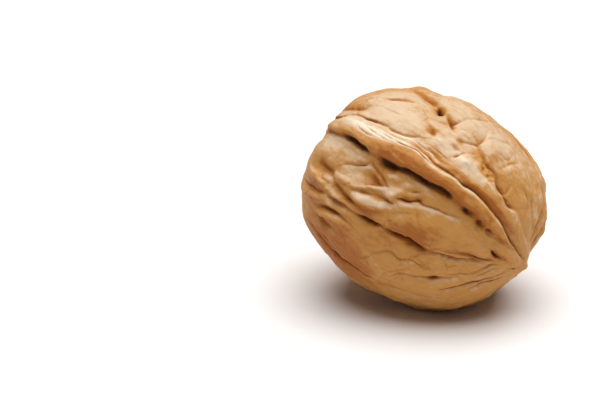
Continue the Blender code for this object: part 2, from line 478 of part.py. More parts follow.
def section(furrow, distance, full, width):
    """Depth of the groove, and height of its lips and banks, at these distances from its line."""
    crack = np.exp(-np.abs(distance / width) ** CRACK_SHARPNESS)
    valley = np.exp(-np.abs(distance) / (VALLEY_WIDTHS * width))
    groove = full * (CRACK_SHARE * crack + (1 - CRACK_SHARE) * valley)
    lips = furrow.lip * full * np.exp(-((np.abs(distance) - LIP_AT * width) / (LIP_WIDTHS * width)) ** 2)
    step = np.tanh(2 * distance / width) * np.exp(-(distance / BANK_REACH) ** 2)
    return groove, lips + furrow.bank * step * np.minimum(full / FULL_BANK_DEPTH, 1)


def relief(points, way):
    """How far each point of the smooth nut moves, in millimetres, as a vector."""
    normals = outward(way)
    height = np.zeros(len(points))
    for swell in SWELLS:
        height += swell.height * spot(way, swell.down, swell.round, swell.long, swell.cross)
    for rows in RIDGES:
        index, distance, _, size = measure(points, rows, FELT_WIDTHS * max(row[3] for row in rows))
        height[index] += size[:, 0] / (1 + (distance / size[:, 1]) ** 4)
    carved = np.zeros(len(points))
    shift = np.zeros(points.shape)
    for furrow in FURROWS + hidden_furrows():
        index, distance, across, size = measure(points, furrow.rows, FURROW_REACH)
        groove, sides = section(furrow, distance, size[:, 0], np.maximum(size[:, 1], NARROWEST))
        carved[index] += groove
        height[index] += sides
        shift[index] += (furrow.lean * groove)[:, None] * across
    height += net(points, way) * np.exp(-carved)
    height -= CARVE_LIMIT * (1 - np.exp(-carved / CARVE_LIMIT))
    return height[:, None] * normals + shift


def shell_material():
    material = bpy.data.materials.new("shell")
    material.use_nodes = True
    shader = material.node_tree.nodes["Principled BSDF"]
    shader.inputs["Base Color"].default_value = SHELL_COLOUR
    shader.inputs["Roughness"].default_value = SHELL_ROUGHNESS
    shader.inputs["Metallic"].default_value = 0.0
    material.diffuse_color = SHELL_COLOUR
    return material


def clear_scene():
    for item in list(bpy.data.objects):
        bpy.data.objects.remove(item, do_unlink=True)


def new_collection(name):
    collection = bpy.data.collections.new(name)
    bpy.context.scene.collection.children.link(collection)
    return collection


def move_to(item, collection):
    for old in list(item.users_collection):
        old.objects.unlink(item)
    collection.objects.link(item)


def grow_walnut(collection):
    """A fine ball drawn out to the nut's form and relief, then thinned to a workable mesh."""
    bpy.ops.mesh.primitive_ico_sphere_add(subdivisions=BALL_SUBDIVISIONS, radius=1.0)
    walnut = bpy.context.object
    walnut.name = "walnut"
    mesh = walnut.data
    mesh.name = "walnut"
    flat = np.empty(len(mesh.vertices) * 3)
    mesh.vertices.foreach_get("co", flat)
    way = unit(flat.reshape(-1, 3))
    points = smooth_nut(way)
    points = points + relief(points, way)
    mesh.vertices.foreach_set("co", (points * METRES).ravel())
    mesh.update()
    mesh.shade_smooth()
    mesh.materials.append(shell_material())
    thin = walnut.modifiers.new("Thin", 'DECIMATE')
    thin.ratio = TRIANGLES / len(mesh.polygons)
    walnut.rotation_euler = np.radians([ROLL, PITCH, 0])
    move_to(walnut, collection)
    return walnut


def lay_down(walnut):
    """Sinks the nut by the depth of its flat spot, with the middle of that spot on the origin."""
    bpy.context.view_layer.update()
    corners = np.array([walnut.matrix_world @ vertex.co for vertex in walnut.data.vertices])
    level = corners[:, 2].min() + REST_CUT * METRES
    middle = corners[corners[:, 2] < level].mean(axis=0)
    walnut.location = (-middle[0], -middle[1], -level)


def cut_rest(walnut, collection):
    """The small flat spot that the nut rests on."""
    size = 4 * TIP_REACH * METRES
    bpy.ops.mesh.primitive_cube_add(size=size, location=(0, 0, -size / 2))
    cutter = bpy.context.object
    cutter.name = "rest_cutter"
    cutter.hide_render = True
    cutter.display_type = 'WIRE'
    move_to(cutter, collection)
    rest = walnut.modifiers.new("Rest", 'BOOLEAN')
    rest.operation = 'DIFFERENCE'
    rest.solver = 'EXACT'
    rest.object = cutter


def main():
    clear_scene()
    parts = new_collection("walnut in shell")
    cutters = new_collection("cutters")
    walnut = grow_walnut(parts)
    lay_down(walnut)
    cut_rest(walnut, cutters)


main()
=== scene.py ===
"""The fine shell of a walnut with its material, and the pale floor, light and camera round it.

Laid out as an add-on and run as a script. Settings are in Blender's own units, and the formulas of
the shape are in millimetres and degrees. A place on the nut is two angles. Down runs from the tip (0)
to the stem end (180). Round runs from the front seam (0) over the right cheek (90) to the back seam
(180), and over the left cheek as minus values. The nut's own axes are +X to the tip, +Y to the right
cheek and +Z to the front seam. A run is a list of rows from place to place, and a row that gives no half
width keeps that of the row before it.
"""

import math
from typing import NamedTuple

import bmesh
import bpy
import numpy as np
from bpy.props import FloatProperty, FloatVectorProperty, PointerProperty
from bpy.types import Operator, Panel, PropertyGroup
from mathutils import Euler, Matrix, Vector, noise


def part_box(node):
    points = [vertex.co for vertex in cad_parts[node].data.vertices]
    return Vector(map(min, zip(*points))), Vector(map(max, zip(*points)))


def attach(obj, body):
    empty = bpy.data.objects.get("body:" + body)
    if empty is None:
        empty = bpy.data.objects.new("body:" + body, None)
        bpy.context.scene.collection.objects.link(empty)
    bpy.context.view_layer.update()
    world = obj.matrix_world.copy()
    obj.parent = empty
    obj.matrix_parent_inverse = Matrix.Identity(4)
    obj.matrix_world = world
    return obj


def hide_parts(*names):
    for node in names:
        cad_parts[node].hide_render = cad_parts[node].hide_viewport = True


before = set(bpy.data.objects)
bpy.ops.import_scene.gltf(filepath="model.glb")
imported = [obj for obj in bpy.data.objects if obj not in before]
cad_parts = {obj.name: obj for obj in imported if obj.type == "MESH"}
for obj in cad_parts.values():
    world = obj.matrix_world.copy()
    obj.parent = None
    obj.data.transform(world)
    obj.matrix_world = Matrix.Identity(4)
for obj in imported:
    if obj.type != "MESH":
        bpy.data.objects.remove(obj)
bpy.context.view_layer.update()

bl_info = {
    "name": "Walnut in shell",
    "version": (1, 0, 0),
    "blender": (4, 5, 0),
    "location": "View3D > Sidebar > Walnut",
    "description": "Grows the fine shell of a walnut and sets a plain stage round it",
    "category": "Mesh",
}

# Factors from metres to millimetres and back
MILLIMETRES = 1000.0
METRES = 0.001

# Where the nut shows in the picture: picture size and middle of the nut in pixels, and the scale there
PICTURE_WIDTH = 612
PICTURE_HEIGHT = 408
NUT_ACROSS = 424.5
NUT_DOWN = 198.3
PIXELS_PER_MM = 6.32

# Mesh: an even ball, halved again where it faces the camera by at least this cosine
BALL_SUBDIVISIONS = 7
FINE_FROM = 0.10

# How far the box of the fine shell may stray from its solid's, in metres
SAME_BOX = 0.0006

# Where the middle of the nut lies, in metres
NUT_MIDDLE = (-0.00264, 0.00121, 0.01609)


class Furrow(NamedTuple):
    """A groove along rows of (down, round, depth, half width), from the stem end towards the tip."""
    rows: list
    bank: float = 0.0
    lean: float = 0.0
    lip: float = 0.0
    ink: float = 1.0


# Ridges along rows of (down, round, height, half width)
RIDGES = [
    # front seam: one bold ridge from the stem end, between the fold above it and the long furrow below
    [(168, -8, 0.2, 2.2), (150, -12, 0.7), (130, -10, 1.2, 2.3), (113, -9, 1.4, 2.4), (98, -9, 1.4),
     (84, -7, 1.4, 2.1), (70, -5, 1.3, 1.9), (55, -4, 1.0, 1.7), (38, -4, 0.7, 1.5), (22, -5, 0.35, 1.2),
     (12, -8, 0.15, 1.0)],
    # its second lip, right of the hairline
    [(94, 7, 0.2, 1.2), (84, 7, 0.5, 1.3), (74, 8, 0.7, 1.4), (65, 8, 0.8), (55, 9, 0.8, 1.3),
     (44, 11, 0.8, 1.2), (34, 14, 0.6, 1.0), (24, 18, 0.4, 0.9), (14, 26, 0.25, 0.8), (7, 50, 0.1, 0.7)],
    # back seam
    [(168, 176, 0.5, 2.2), (140, 178, 1.0, 2.6), (100, 181, 1.2, 2.8), (60, 179, 1.0, 2.4),
     (36, 180, 0.5, 2.0), (20, 180, 0.2, 1.6)],
    # small ridges between the folds of the left cheek
    [(140, -52, 0.1, 0.9), (134, -50, 0.5, 0.8), (128, -49, 0.9, 0.6), (122, -47, 0.9, 0.5),
     (117, -48, 0.3, 0.45)],
    [(138, -74, 0.1, 0.7), (131, -66, 0.5, 0.6), (124, -60, 0.9, 0.5), (119, -57, 0.8, 0.45),
     (114, -54, 0.5, 0.4), (109, -54, 0.2)],
    [(129, -45, 0.2, 0.5), (125, -44, 0.5, 0.45), (121, -44, 0.6, 0.4), (117, -45, 0.2)],
    [(120, -40, 0.1, 0.5), (116, -39, 0.45), (112, -38, 0.5), (108, -37, 0.4), (104, -36, 0.15, 0.45)],
    [(116, -50, 0.2, 0.4), (112, -48.5, 0.6, 0.42), (108, -48, 0.6), (104, -47.5, 0.5, 0.4),
     (100, -47, 0.3)],
    [(118, -61, 0.1, 0.4), (113, -56.5, 0.35, 0.42), (108, -54, 0.35, 0.4), (103, -53, 0.25),
     (99, -52, 0.1)],
    [(116, -66, 0.3, 0.5), (112, -62.5, 0.8), (108, -60, 0.9), (103, -58.5, 0.8), (98, -58.5, 0.3)],
    [(83, -69, 0.1, 0.3), (80, -73, 0.25, 0.35), (77, -77, 0.25), (78, -84, 0.1, 0.3)],
    # the pale shelf at the foot of the folds
    [(105, -36.5, 0.2, 0.4), (101, -34, 0.4), (97, -31, 0.4), (92, -28, 0.2)],
]

# Furrows, with ink where they are darker or paler than usual
FURROWS = [
    # hairline where the halves meet: front, with the crest of the ridge standing over it, and back
    Furrow([(166, -4, 0.2, 0.2), (130, -6, 0.2, 0.18), (118, -4, 0.35), (110, -3, 0.4), (103, -3, 0.4),
            (98, -1, 0.3), (94, 0, 0.4, 0.2), (90, -0.5, 0.4, 0.22), (86, -1, 0.6, 0.26),
            (82, -2, 0.8, 0.3), (76, -1, 0.9), (69, -0.5, 0.9, 0.28), (63, 0.5, 0.9, 0.26),
            (56, 2, 0.8, 0.24), (50, 1.5, 0.8), (44, 1.5, 0.8), (37, 0.5, 0.9), (30, -0.5, 1.0),
            (24, 0.5, 0.8, 0.22), (16, 5, 0.5), (10, 15, 0.3, 0.2), (5, 50, 0.1)], bank=-0.3, ink=1.7),
    Furrow([(166, 178, 0.3, 0.25), (130, 181, 0.5), (95, 179, 0.7, 0.3), (60, 181, 0.7), (36, 179, 0.5),
            (20, 182, 0.2, 0.25)], bank=0.15),
    # undercut furrow along the lower side of the front seam
    Furrow([(160, -26, 0.2, 0.4), (145, -22.5, 0.5, 0.35), (136, -20, 0.6, 0.3), (130, -19, 0.6, 0.28),
            (126, -18, 1.2, 0.26), (122, -17.5, 1.9, 0.28), (118, -17.5, 2.1), (114, -17.5, 1.9),
            (111, -17, 1.3), (108, -17, 0.6), (105, -17, 0.4, 0.3), (102.5, -17, 0.8, 0.42),
            (100.5, -17.5, 1.7, 0.56), (98, -17.5, 2.3, 0.62), (95, -17, 2.2, 0.54), (92, -15.5, 1.6, 0.34),
            (89, -14, 2.0, 0.3), (84, -13.5, 2.2), (80, -13, 2.2), (76, -12, 2.1), (72, -11, 2.0),
            (69, -10.5, 1.8, 0.28), (66, -10.5, 0.8), (62, -10.5, 0.7, 0.3), (58, -10.5, 1.0, 0.28),
            (55, -9.5, 1.0, 0.3), (51, -10.5, 0.7, 0.28), (48, -11, 1.1), (45, -11, 0.5, 0.25),
            (42, -11, 0.7, 0.24), (39, -11, 0.6), (35, -9, 0.4, 0.22),
            (30, -7, 0.2, 0.2)], bank=0.4, lean=0.35, lip=0.06),
    # fold above the ridge near the stem end, and the tongue that runs on from it
    Furrow([(158, -10, 0.3, 0.28), (146, -9, 0.5, 0.26), (138, -7.5, 0.5, 0.25), (134, -4, 0.25, 0.22),
            (129, -2, 0.35), (122, -1.5, 0.55, 0.2), (116, -0.5, 0.6), (111, 0, 0.3)], bank=0.2, ink=1.5),
    Furrow([(110, 0.5, 0.2, 0.18), (107, 0, 0.35), (103, 0.5, 0.4), (100, 2, 0.4),
            (96, 5, 0.25)], bank=0.1, ink=1.2),
    # right border of the second lip, with its pits
    Furrow([(60, 21, 0.4, 0.3), (58, 20, 0.7, 0.33), (54, 18, 1.2, 0.35), (50, 17.5, 0.9, 0.33),
            (47, 17, 1.5, 0.36), (44, 17, 1.3, 0.33), (40, 22, 0.3, 0.3), (36, 24, 0.2), (29, 26, 0.2),
            (21, 36, 0.2), (14, 44, 0.1)], bank=-0.3, lip=0.05),
    # soft valley between the rim and the broad lobe by the stem end, and the crease at its end
    Furrow([(156, 3, 0.4, 0.5), (150, 5, 0.7, 0.55), (144, 5.5, 0.85), (137, 5.5, 0.9, 0.6),
            (131, 6.5, 0.7, 0.65), (128, 11, 0.4, 0.6), (127, 18, 0.2, 0.5)], bank=0.1, ink=0.3),
    Furrow([(126, 20, 0.2, 0.25), (123, 21, 0.6, 0.24), (120, 23.5, 0.5, 0.22), (116, 24.5, 0.3),
            (111, 26, 0.2)], bank=0.15),
    # cleft between the rim and the lobes, ending in a dark pit
    Furrow([(125, 46, 0.3, 0.5), (121, 44, 0.7, 0.52), (116, 41, 1.1, 0.55), (112, 38.5, 1.5, 0.58),
            (108, 36.5, 1.6, 0.52), (104, 33, 0.6, 0.45)], bank=0.25, ink=0.4),
    Furrow([(103, 31.5, 0.3, 0.32), (101, 30.5, 2.0, 0.36), (99, 29, 2.2, 0.38), (97, 28.5, 0.3, 0.3)]),
    Furrow([(96, 29, 0.3, 0.3), (94, 27.5, 0.8), (92, 26.5, 1.0, 0.32), (90, 24.5, 0.9, 0.36),
            (88, 23, 0.3, 0.35)], ink=0.8),
    # round lobes on the upper right
    Furrow([(92.5, 26, 0.4, 0.25), (90.5, 28, 0.45, 0.22), (89.5, 32, 0.35, 0.2), (89, 36, 0.3),
            (88, 40, 0.3), (86.5, 44, 0.3), (85, 50, 0.2), (82, 58, 0.1)], ink=1.6),
    Furrow([(83, 20, 0.2, 0.26), (80, 22.5, 0.35, 0.24), (78, 25, 0.4), (76.5, 27, 0.4, 0.22),
            (76.5, 31, 0.3, 0.2), (77.5, 35, 0.25), (79.5, 41, 0.15)], bank=0.05, ink=1.4),
    Furrow([(77.5, 28, 0.3, 0.25), (75.5, 26.5, 0.45, 0.26), (73.5, 25, 0.4, 0.28), (70, 23.5, 0.6),
            (67, 22, 0.55), (64, 23, 0.5, 0.26), (60, 23, 0.5), (57, 21, 0.3, 0.28)], bank=0.08),
    Furrow([(76, 29, 0.2, 0.2), (76, 34, 0.25), (75, 41, 0.25), (71, 49, 0.2), (66, 57, 0.15)], ink=1.2),
    Furrow([(68, 33, 0.1, 0.2), (65, 36, 0.2), (63, 39, 0.2), (64, 44, 0.1)]),
    Furrow([(79, 7.5, 0.2, 0.24), (78, 10, 0.7, 0.26), (77.5, 13, 0.5, 0.24), (76, 17, 0.3, 0.2),
            (74, 20, 0.2)]),
    Furrow([(99, 16, 0.3, 0.36), (96, 14.5, 0.8, 0.42), (93.5, 13, 1.2, 0.48),
            (91, 10.5, 0.4, 0.4)], ink=0.5),
    Furrow([(97, 21, 0.2, 0.2), (95, 22, 0.4), (92, 23, 0.3)]),
    # right cheek
    Furrow([(61, 28, 0.1, 0.25), (61, 34, 0.25), (61, 40, 0.25), (60, 47, 0.1)]),
    Furrow([(52, 30, 0.15, 0.22), (51, 26, 0.35), (50, 22, 0.4), (51, 18, 0.4)]),
    Furrow([(47, 40, 0.2, 0.22), (42, 42, 0.4), (38, 40, 0.4), (33, 35, 0.2)]),
    Furrow([(52, 66, 0.2, 0.3), (43, 68, 0.6, 0.33), (38, 73, 0.8, 0.35), (33, 73, 0.8),
            (27, 72, 0.7, 0.33), (21, 70, 0.5, 0.3), (15, 62, 0.2)], ink=0.6),
    Furrow([(44, 85, 0.2, 0.3), (36, 88, 0.6, 0.33), (29, 88, 0.7, 0.35), (22, 86, 0.5, 0.33),
            (15, 78, 0.2, 0.3)], ink=0.6),
    Furrow([(40, 102, 0.2, 0.3), (35, 101, 0.6, 0.33), (29, 100, 0.6), (23, 98, 0.4, 0.3),
            (16, 92, 0.2)], ink=0.4),
    Furrow([(46, 46, 0.2, 0.22), (38, 47, 0.5, 0.25), (31, 47, 0.5), (23, 50, 0.3, 0.22)], ink=0.6),
    Furrow([(47, 58, 0.2, 0.22), (40, 57, 0.4, 0.24), (32, 58, 0.4), (25, 60, 0.3, 0.22),
            (18, 58, 0.2, 0.2)], ink=0.6),
    # second long furrow: thin at first, a lens, a notch, a long gash, then two thin lines
    Furrow([(116, -54, 0.2, 0.22), (112, -51.5, 0.5, 0.24), (109, -50.5, 0.7, 0.26), (106, -50, 0.7),
            (102, -49.5, 0.4, 0.22), (99, -49, 0.4), (96.5, -49.5, 0.9, 0.28), (94, -49.5, 1.9, 0.35),
            (91, -49.5, 2.2, 0.37), (88, -48.5, 1.8, 0.32), (85.5, -47, 0.9, 0.26), (83.5, -47, 0.45, 0.22),
            (81.5, -47, 0.9, 0.25), (79, -47, 1.4, 0.28), (76, -46.5, 1.5), (73, -46.5, 1.7, 0.3),
            (71, -46.5, 2.2, 0.38), (68, -47, 2.1, 0.35), (65, -47, 1.9, 0.33), (62.5, -46.5, 1.0, 0.28),
            (60, -45.5, 0.5, 0.24), (57, -45, 0.3, 0.22), (54, -45, 0.5), (50, -43.5, 0.6), (46, -43, 0.5),
            (42, -41, 0.4, 0.2), (37, -39, 0.3), (32, -38, 0.2)], bank=0.12, lean=0.2),
    Furrow([(59, -44, 0.2, 0.2), (56, -42, 0.35), (50, -39, 0.4), (44, -36.5, 0.7, 0.22), (40, -36, 0.9),
            (35, -35.5, 0.6, 0.2), (31, -33, 0.35), (25, -31, 0.2)], bank=0.12),
    # folds of the left cheek
    Furrow([(118, -63, 0.3, 0.26), (114, -59.5, 0.7, 0.3), (110, -57.5, 0.9), (106, -56.5, 0.8),
            (102, -56, 0.5, 0.28), (97, -56.5, 0.2, 0.25)], bank=0.1),
    Furrow([(119, -72, 0.3, 0.45), (114, -68, 0.8), (109, -67, 0.8), (104, -66, 0.3)], ink=0.5),
    Furrow([(138, -66.5, 0.2, 0.33), (132, -62, 0.5, 0.36), (127, -58.5, 0.65, 0.38), (122, -56, 0.65),
            (118, -52.5, 0.35, 0.33), (115, -50, 0.15, 0.3)], bank=0.1, ink=0.6),
    Furrow([(125, -45.5, 0.2, 0.28), (122, -46, 0.5), (119, -46, 0.6), (116, -48, 0.3)], ink=0.5),
    # ledges and folds between the seam and the second furrow
    Furrow([(115, -30, 0.2, 0.18), (113, -28, 0.45), (110, -26, 0.6, 0.2), (107, -23, 0.5, 0.22),
            (105, -20, 0.2)], bank=0.18),
    Furrow([(105, -20, 0.2, 0.3), (102, -22, 0.7, 0.33), (98, -23.5, 0.8), (95, -25, 0.7, 0.3),
            (92, -26.5, 0.3, 0.25)], bank=0.15, ink=0.6),
    Furrow([(107, -37, 0.1, 0.2), (104, -35, 0.3), (101, -33, 0.4), (99, -31, 0.5, 0.22), (95, -28, 0.45),
            (92, -26.5, 0.2, 0.2)], bank=-0.12, ink=1.3),
    Furrow([(104, -38.5, 0.3, 0.35), (100, -37, 0.8, 0.4), (97, -35.5, 0.9, 0.42), (93, -34, 0.9, 0.4),
            (89.5, -32.5, 0.8, 0.33), (87, -31.5, 0.3, 0.28)], bank=-0.1, ink=0.5),
    Furrow([(92, -35, 0.2, 0.28), (89, -33, 0.5), (86, -32, 0.5), (84, -31, 0.2)]),
    Furrow([(105, -45, 0.1, 0.7), (99, -43.5, 0.25), (94, -42.5, 0.25), (89, -39.5, 0.2, 0.6),
            (84, -36, 0.1)], bank=0.6, ink=0.0),
    Furrow([(86, -29, 0.3, 0.25), (84, -27.5, 0.7, 0.26), (81, -26.5, 0.9, 0.28), (79, -24.5, 0.7, 0.26),
            (77, -22.5, 0.9, 0.28), (75, -23, 0.6, 0.26), (72, -22, 0.5, 0.25), (68, -20.5, 0.5, 0.24),
            (63, -19.5, 0.4, 0.22), (58, -17, 0.2, 0.2)], bank=0.1, lip=0.06),
    Furrow([(82, -21, 0.2, 0.22), (80, -19, 0.5), (78, -18, 0.2)]),
    # third long furrow, low on the left cheek
    Furrow([(120, -79, 0.2, 0.3), (114, -79.5, 0.6, 0.36), (110, -80, 0.8, 0.4), (106, -81.5, 1.1, 0.42),
            (103, -83, 1.2), (100, -83.5, 1.2), (96, -84.5, 1.1, 0.4), (93, -83.5, 1.1, 0.38),
            (90, -83.5, 1.0, 0.36), (87, -84.5, 0.9, 0.34), (84, -86, 0.8, 0.32), (81, -85.5, 0.5, 0.3),
            (77, -85, 0.2, 0.28)], bank=0.1, lean=-0.3, ink=2.0),
    Furrow([(112, -75.5, 0.2, 0.2), (107, -76.5, 0.35, 0.22), (102, -78.5, 0.35), (98, -80, 0.15, 0.2)]),
    # veins on the smooth lower cheek
    Furrow([(87, -72, 0.15, 0.2), (84, -68, 0.25), (81, -63, 0.25), (78, -59, 0.3), (75, -57.5, 0.3),
            (71, -59.5, 0.35), (66, -57, 0.3), (62, -58, 0.35), (58, -59, 0.25),
            (54, -57, 0.1)], bank=0.06, ink=1.3),
    Furrow([(66, -57, 0.1, 0.2), (64, -53, 0.25), (63, -50, 0.25), (60, -47, 0.1)], ink=1.3),
    Furrow([(80, -68, 0.1, 0.22), (78, -72, 0.2), (76, -75, 0.2), (73, -72, 0.25), (70, -69, 0.2),
            (68, -65, 0.1)], ink=1.3),
    Furrow([(72, -75, 0.2, 0.28), (69, -70.5, 0.3), (66, -68.5, 0.35), (61, -67.5, 0.4), (57, -66.5, 0.4),
            (54, -66, 0.8, 0.32), (52, -65, 1.0), (50, -64, 0.5, 0.28),
            (44, -61, 0.15, 0.22)], bank=-0.06, ink=1.4),
    Furrow([(76, -88, 0.2, 0.25), (70, -87.5, 0.4), (65, -84, 0.2)], ink=1.3),
    Furrow([(64, -87, 0.2, 0.22), (57, -88.5, 0.3), (49, -89, 0.2)], ink=1.3),
    Furrow([(75, -28, 0.2, 0.22), (72, -32, 0.3), (69, -36, 0.25), (67, -39, 0.1)]),
    # grooves that run in to the tip
    Furrow([(48, -77, 0.3, 0.25), (42, -73, 0.7, 0.26), (37, -69.5, 0.9), (32, -65.5, 0.9), (29, -64, 0.8),
            (26, -61, 0.7, 0.24), (22, -58, 0.5), (16, -47, 0.3, 0.22)], bank=0.1, ink=2.2),
    Furrow([(49, -60, 0.1, 0.2), (42, -57, 0.3), (36, -54, 0.3), (32, -49, 0.4), (29, -44, 0.5, 0.22),
            (27, -38, 0.5), (22, -34, 0.2, 0.2)], ink=1.3),
    Furrow([(33, -58, 0.2, 0.2), (28, -51, 0.4, 0.22), (25, -44, 0.4), (22, -39, 0.2, 0.2)]),
    Furrow([(33, -22, 0.3, 0.26), (31, -23, 1.0, 0.32), (28, -25, 1.6, 0.3), (25, -25, 0.6, 0.26),
            (21, -23, 0.3, 0.2), (16, -22, 0.2)]),
    Furrow([(16, -38, 0.1, 0.2), (12, -36, 0.3), (8, -35, 0.35), (5, -34, 0.15)], ink=2.5),
    Furrow([(33, -76, 0.3, 0.25), (27, -71, 0.7), (21, -70, 0.7), (15, -65, 0.4, 0.22)], bank=0.1, ink=2.2),
]

# Fine dark lines, too narrow for the solid: partly the cracks' dark colour, partly painted shade
LINES = [
    # along the worn crest of the seam
    Furrow([(121, -9, 0.1, 0.12), (116, -10, 0.2), (112, -10, 0.2), (107, -9, 0.1)], ink=3.0),
    Furrow([(117, -6.5, 0.1, 0.12), (111, -7.5, 0.2), (105, -7.5, 0.2), (99, -6, 0.1)], ink=3.0),
    Furrow([(112, -5, 0.1, 0.12), (104, -5.5, 0.2), (98, -4.5, 0.3, 0.13), (94, -3.5, 0.3), (90, -2.5, 0.3),
            (86, -3.5, 0.25), (83, -4, 0.1)], ink=3.5),
    Furrow([(126, -5, 0.1, 0.12), (119, -5.5, 0.2), (112, -4.5, 0.2), (104, -3.5, 0.1)], ink=3.0),
    Furrow([(100, 2, 0.1, 0.13), (95, 2.5, 0.2), (90, 2, 0.2), (86, 2.5, 0.2, 0.14), (82, 2, 0.2),
            (78, 2, 0.1)], ink=3.0),
    Furrow([(90, 5, 0.1, 0.13), (85, 5, 0.2), (80, 5, 0.2), (75, 5, 0.1)], ink=2.0),
    # dark spots along the end of the undercut furrow
    Furrow([(60, -10.5, 0.1, 0.25), (57.5, -10.5, 0.3, 0.36), (54, -10, 0.2, 0.3)], ink=4.5),
    Furrow([(51, -11, 0.1, 0.25), (49, -11, 0.35, 0.36), (47, -11, 0.1, 0.25)], ink=4.5),
    Furrow([(44.5, -10.5, 0.1, 0.25), (43, -10.5, 0.35, 0.3), (40, -10.5, 0.15, 0.2)], ink=4.0),
    # bottoms of the second and third long furrows
    Furrow([(96, -49.5, 0.1, 0.25), (93, -49.5, 0.3, 0.33), (90, -49, 0.3),
            (86.5, -47.5, 0.1, 0.25)], ink=3.5),
    Furrow([(80, -47, 0.1, 0.22), (76, -46.5, 0.25, 0.25), (71, -46.5, 0.35, 0.36), (67, -47, 0.35, 0.34),
            (64, -47, 0.25, 0.28), (61, -46, 0.1, 0.2)], ink=3.5),
    Furrow([(114, -80.5, 0.1, 0.28), (108, -81.5, 0.3, 0.36), (103, -84, 0.35, 0.4), (100, -84.5, 0.35),
            (96, -85.5, 0.35, 0.36), (93, -84.5, 0.35), (87, -85.5, 0.35, 0.33), (84, -87, 0.3, 0.3),
            (79, -86, 0.1, 0.25)], ink=4.5),
    Furrow([(60, -46, 0.1, 0.18), (55, -45.5, 0.3, 0.2), (50, -44, 0.3), (46, -43, 0.3), (42, -41, 0.25),
            (35, -38.5, 0.1, 0.18)], ink=2.6),
    Furrow([(54, -40.5, 0.1, 0.18), (45, -36.5, 0.3, 0.2), (40, -36, 0.3), (36, -36.5, 0.3),
            (28, -31.5, 0.2, 0.18), (24, -28, 0.1)], ink=2.6),
    # short lines beside the tip
    Furrow([(40, 0, 0.1, 0.18), (34, -0.5, 0.35, 0.2), (28, -0.5, 0.4), (22, 1, 0.4), (16, 5, 0.35),
            (11, 12, 0.3, 0.18), (7, 25, 0.1)], ink=3.0),
    Furrow([(40, -11, 0.1, 0.18), (36, -9.5, 0.25, 0.2), (32, -8, 0.2), (28, -7, 0.1, 0.18)], ink=1.5),
    Furrow([(30, -28, 0.1, 0.18), (26, -25.5, 0.25, 0.2), (21, -21, 0.1, 0.18)], ink=1.8),
    # right edge of the second lip
    Furrow([(60, 21, 0.1, 0.2), (55, 18.5, 0.25, 0.22), (50, 17.5, 0.25), (45, 17, 0.2),
            (41, 20, 0.1, 0.2)], ink=1.6),
    # faint lines along the broad lobe
    Furrow([(132, 9, 0.1, 0.2), (124, 10, 0.2), (115, 10, 0.2), (107, 11, 0.1)], ink=0.4),
    Furrow([(130, 15, 0.1, 0.2), (121, 16, 0.2), (112, 17, 0.1)], ink=0.4),
    # joins and branches on the lower cheek
    Furrow([(86, -37, 0.1, 0.2), (84, -40, 0.2), (82, -43, 0.1)], ink=1.6),
    Furrow([(47, -30, 0.1, 0.2), (43, -28, 0.15), (39, -26, 0.1)], ink=0.8),
]

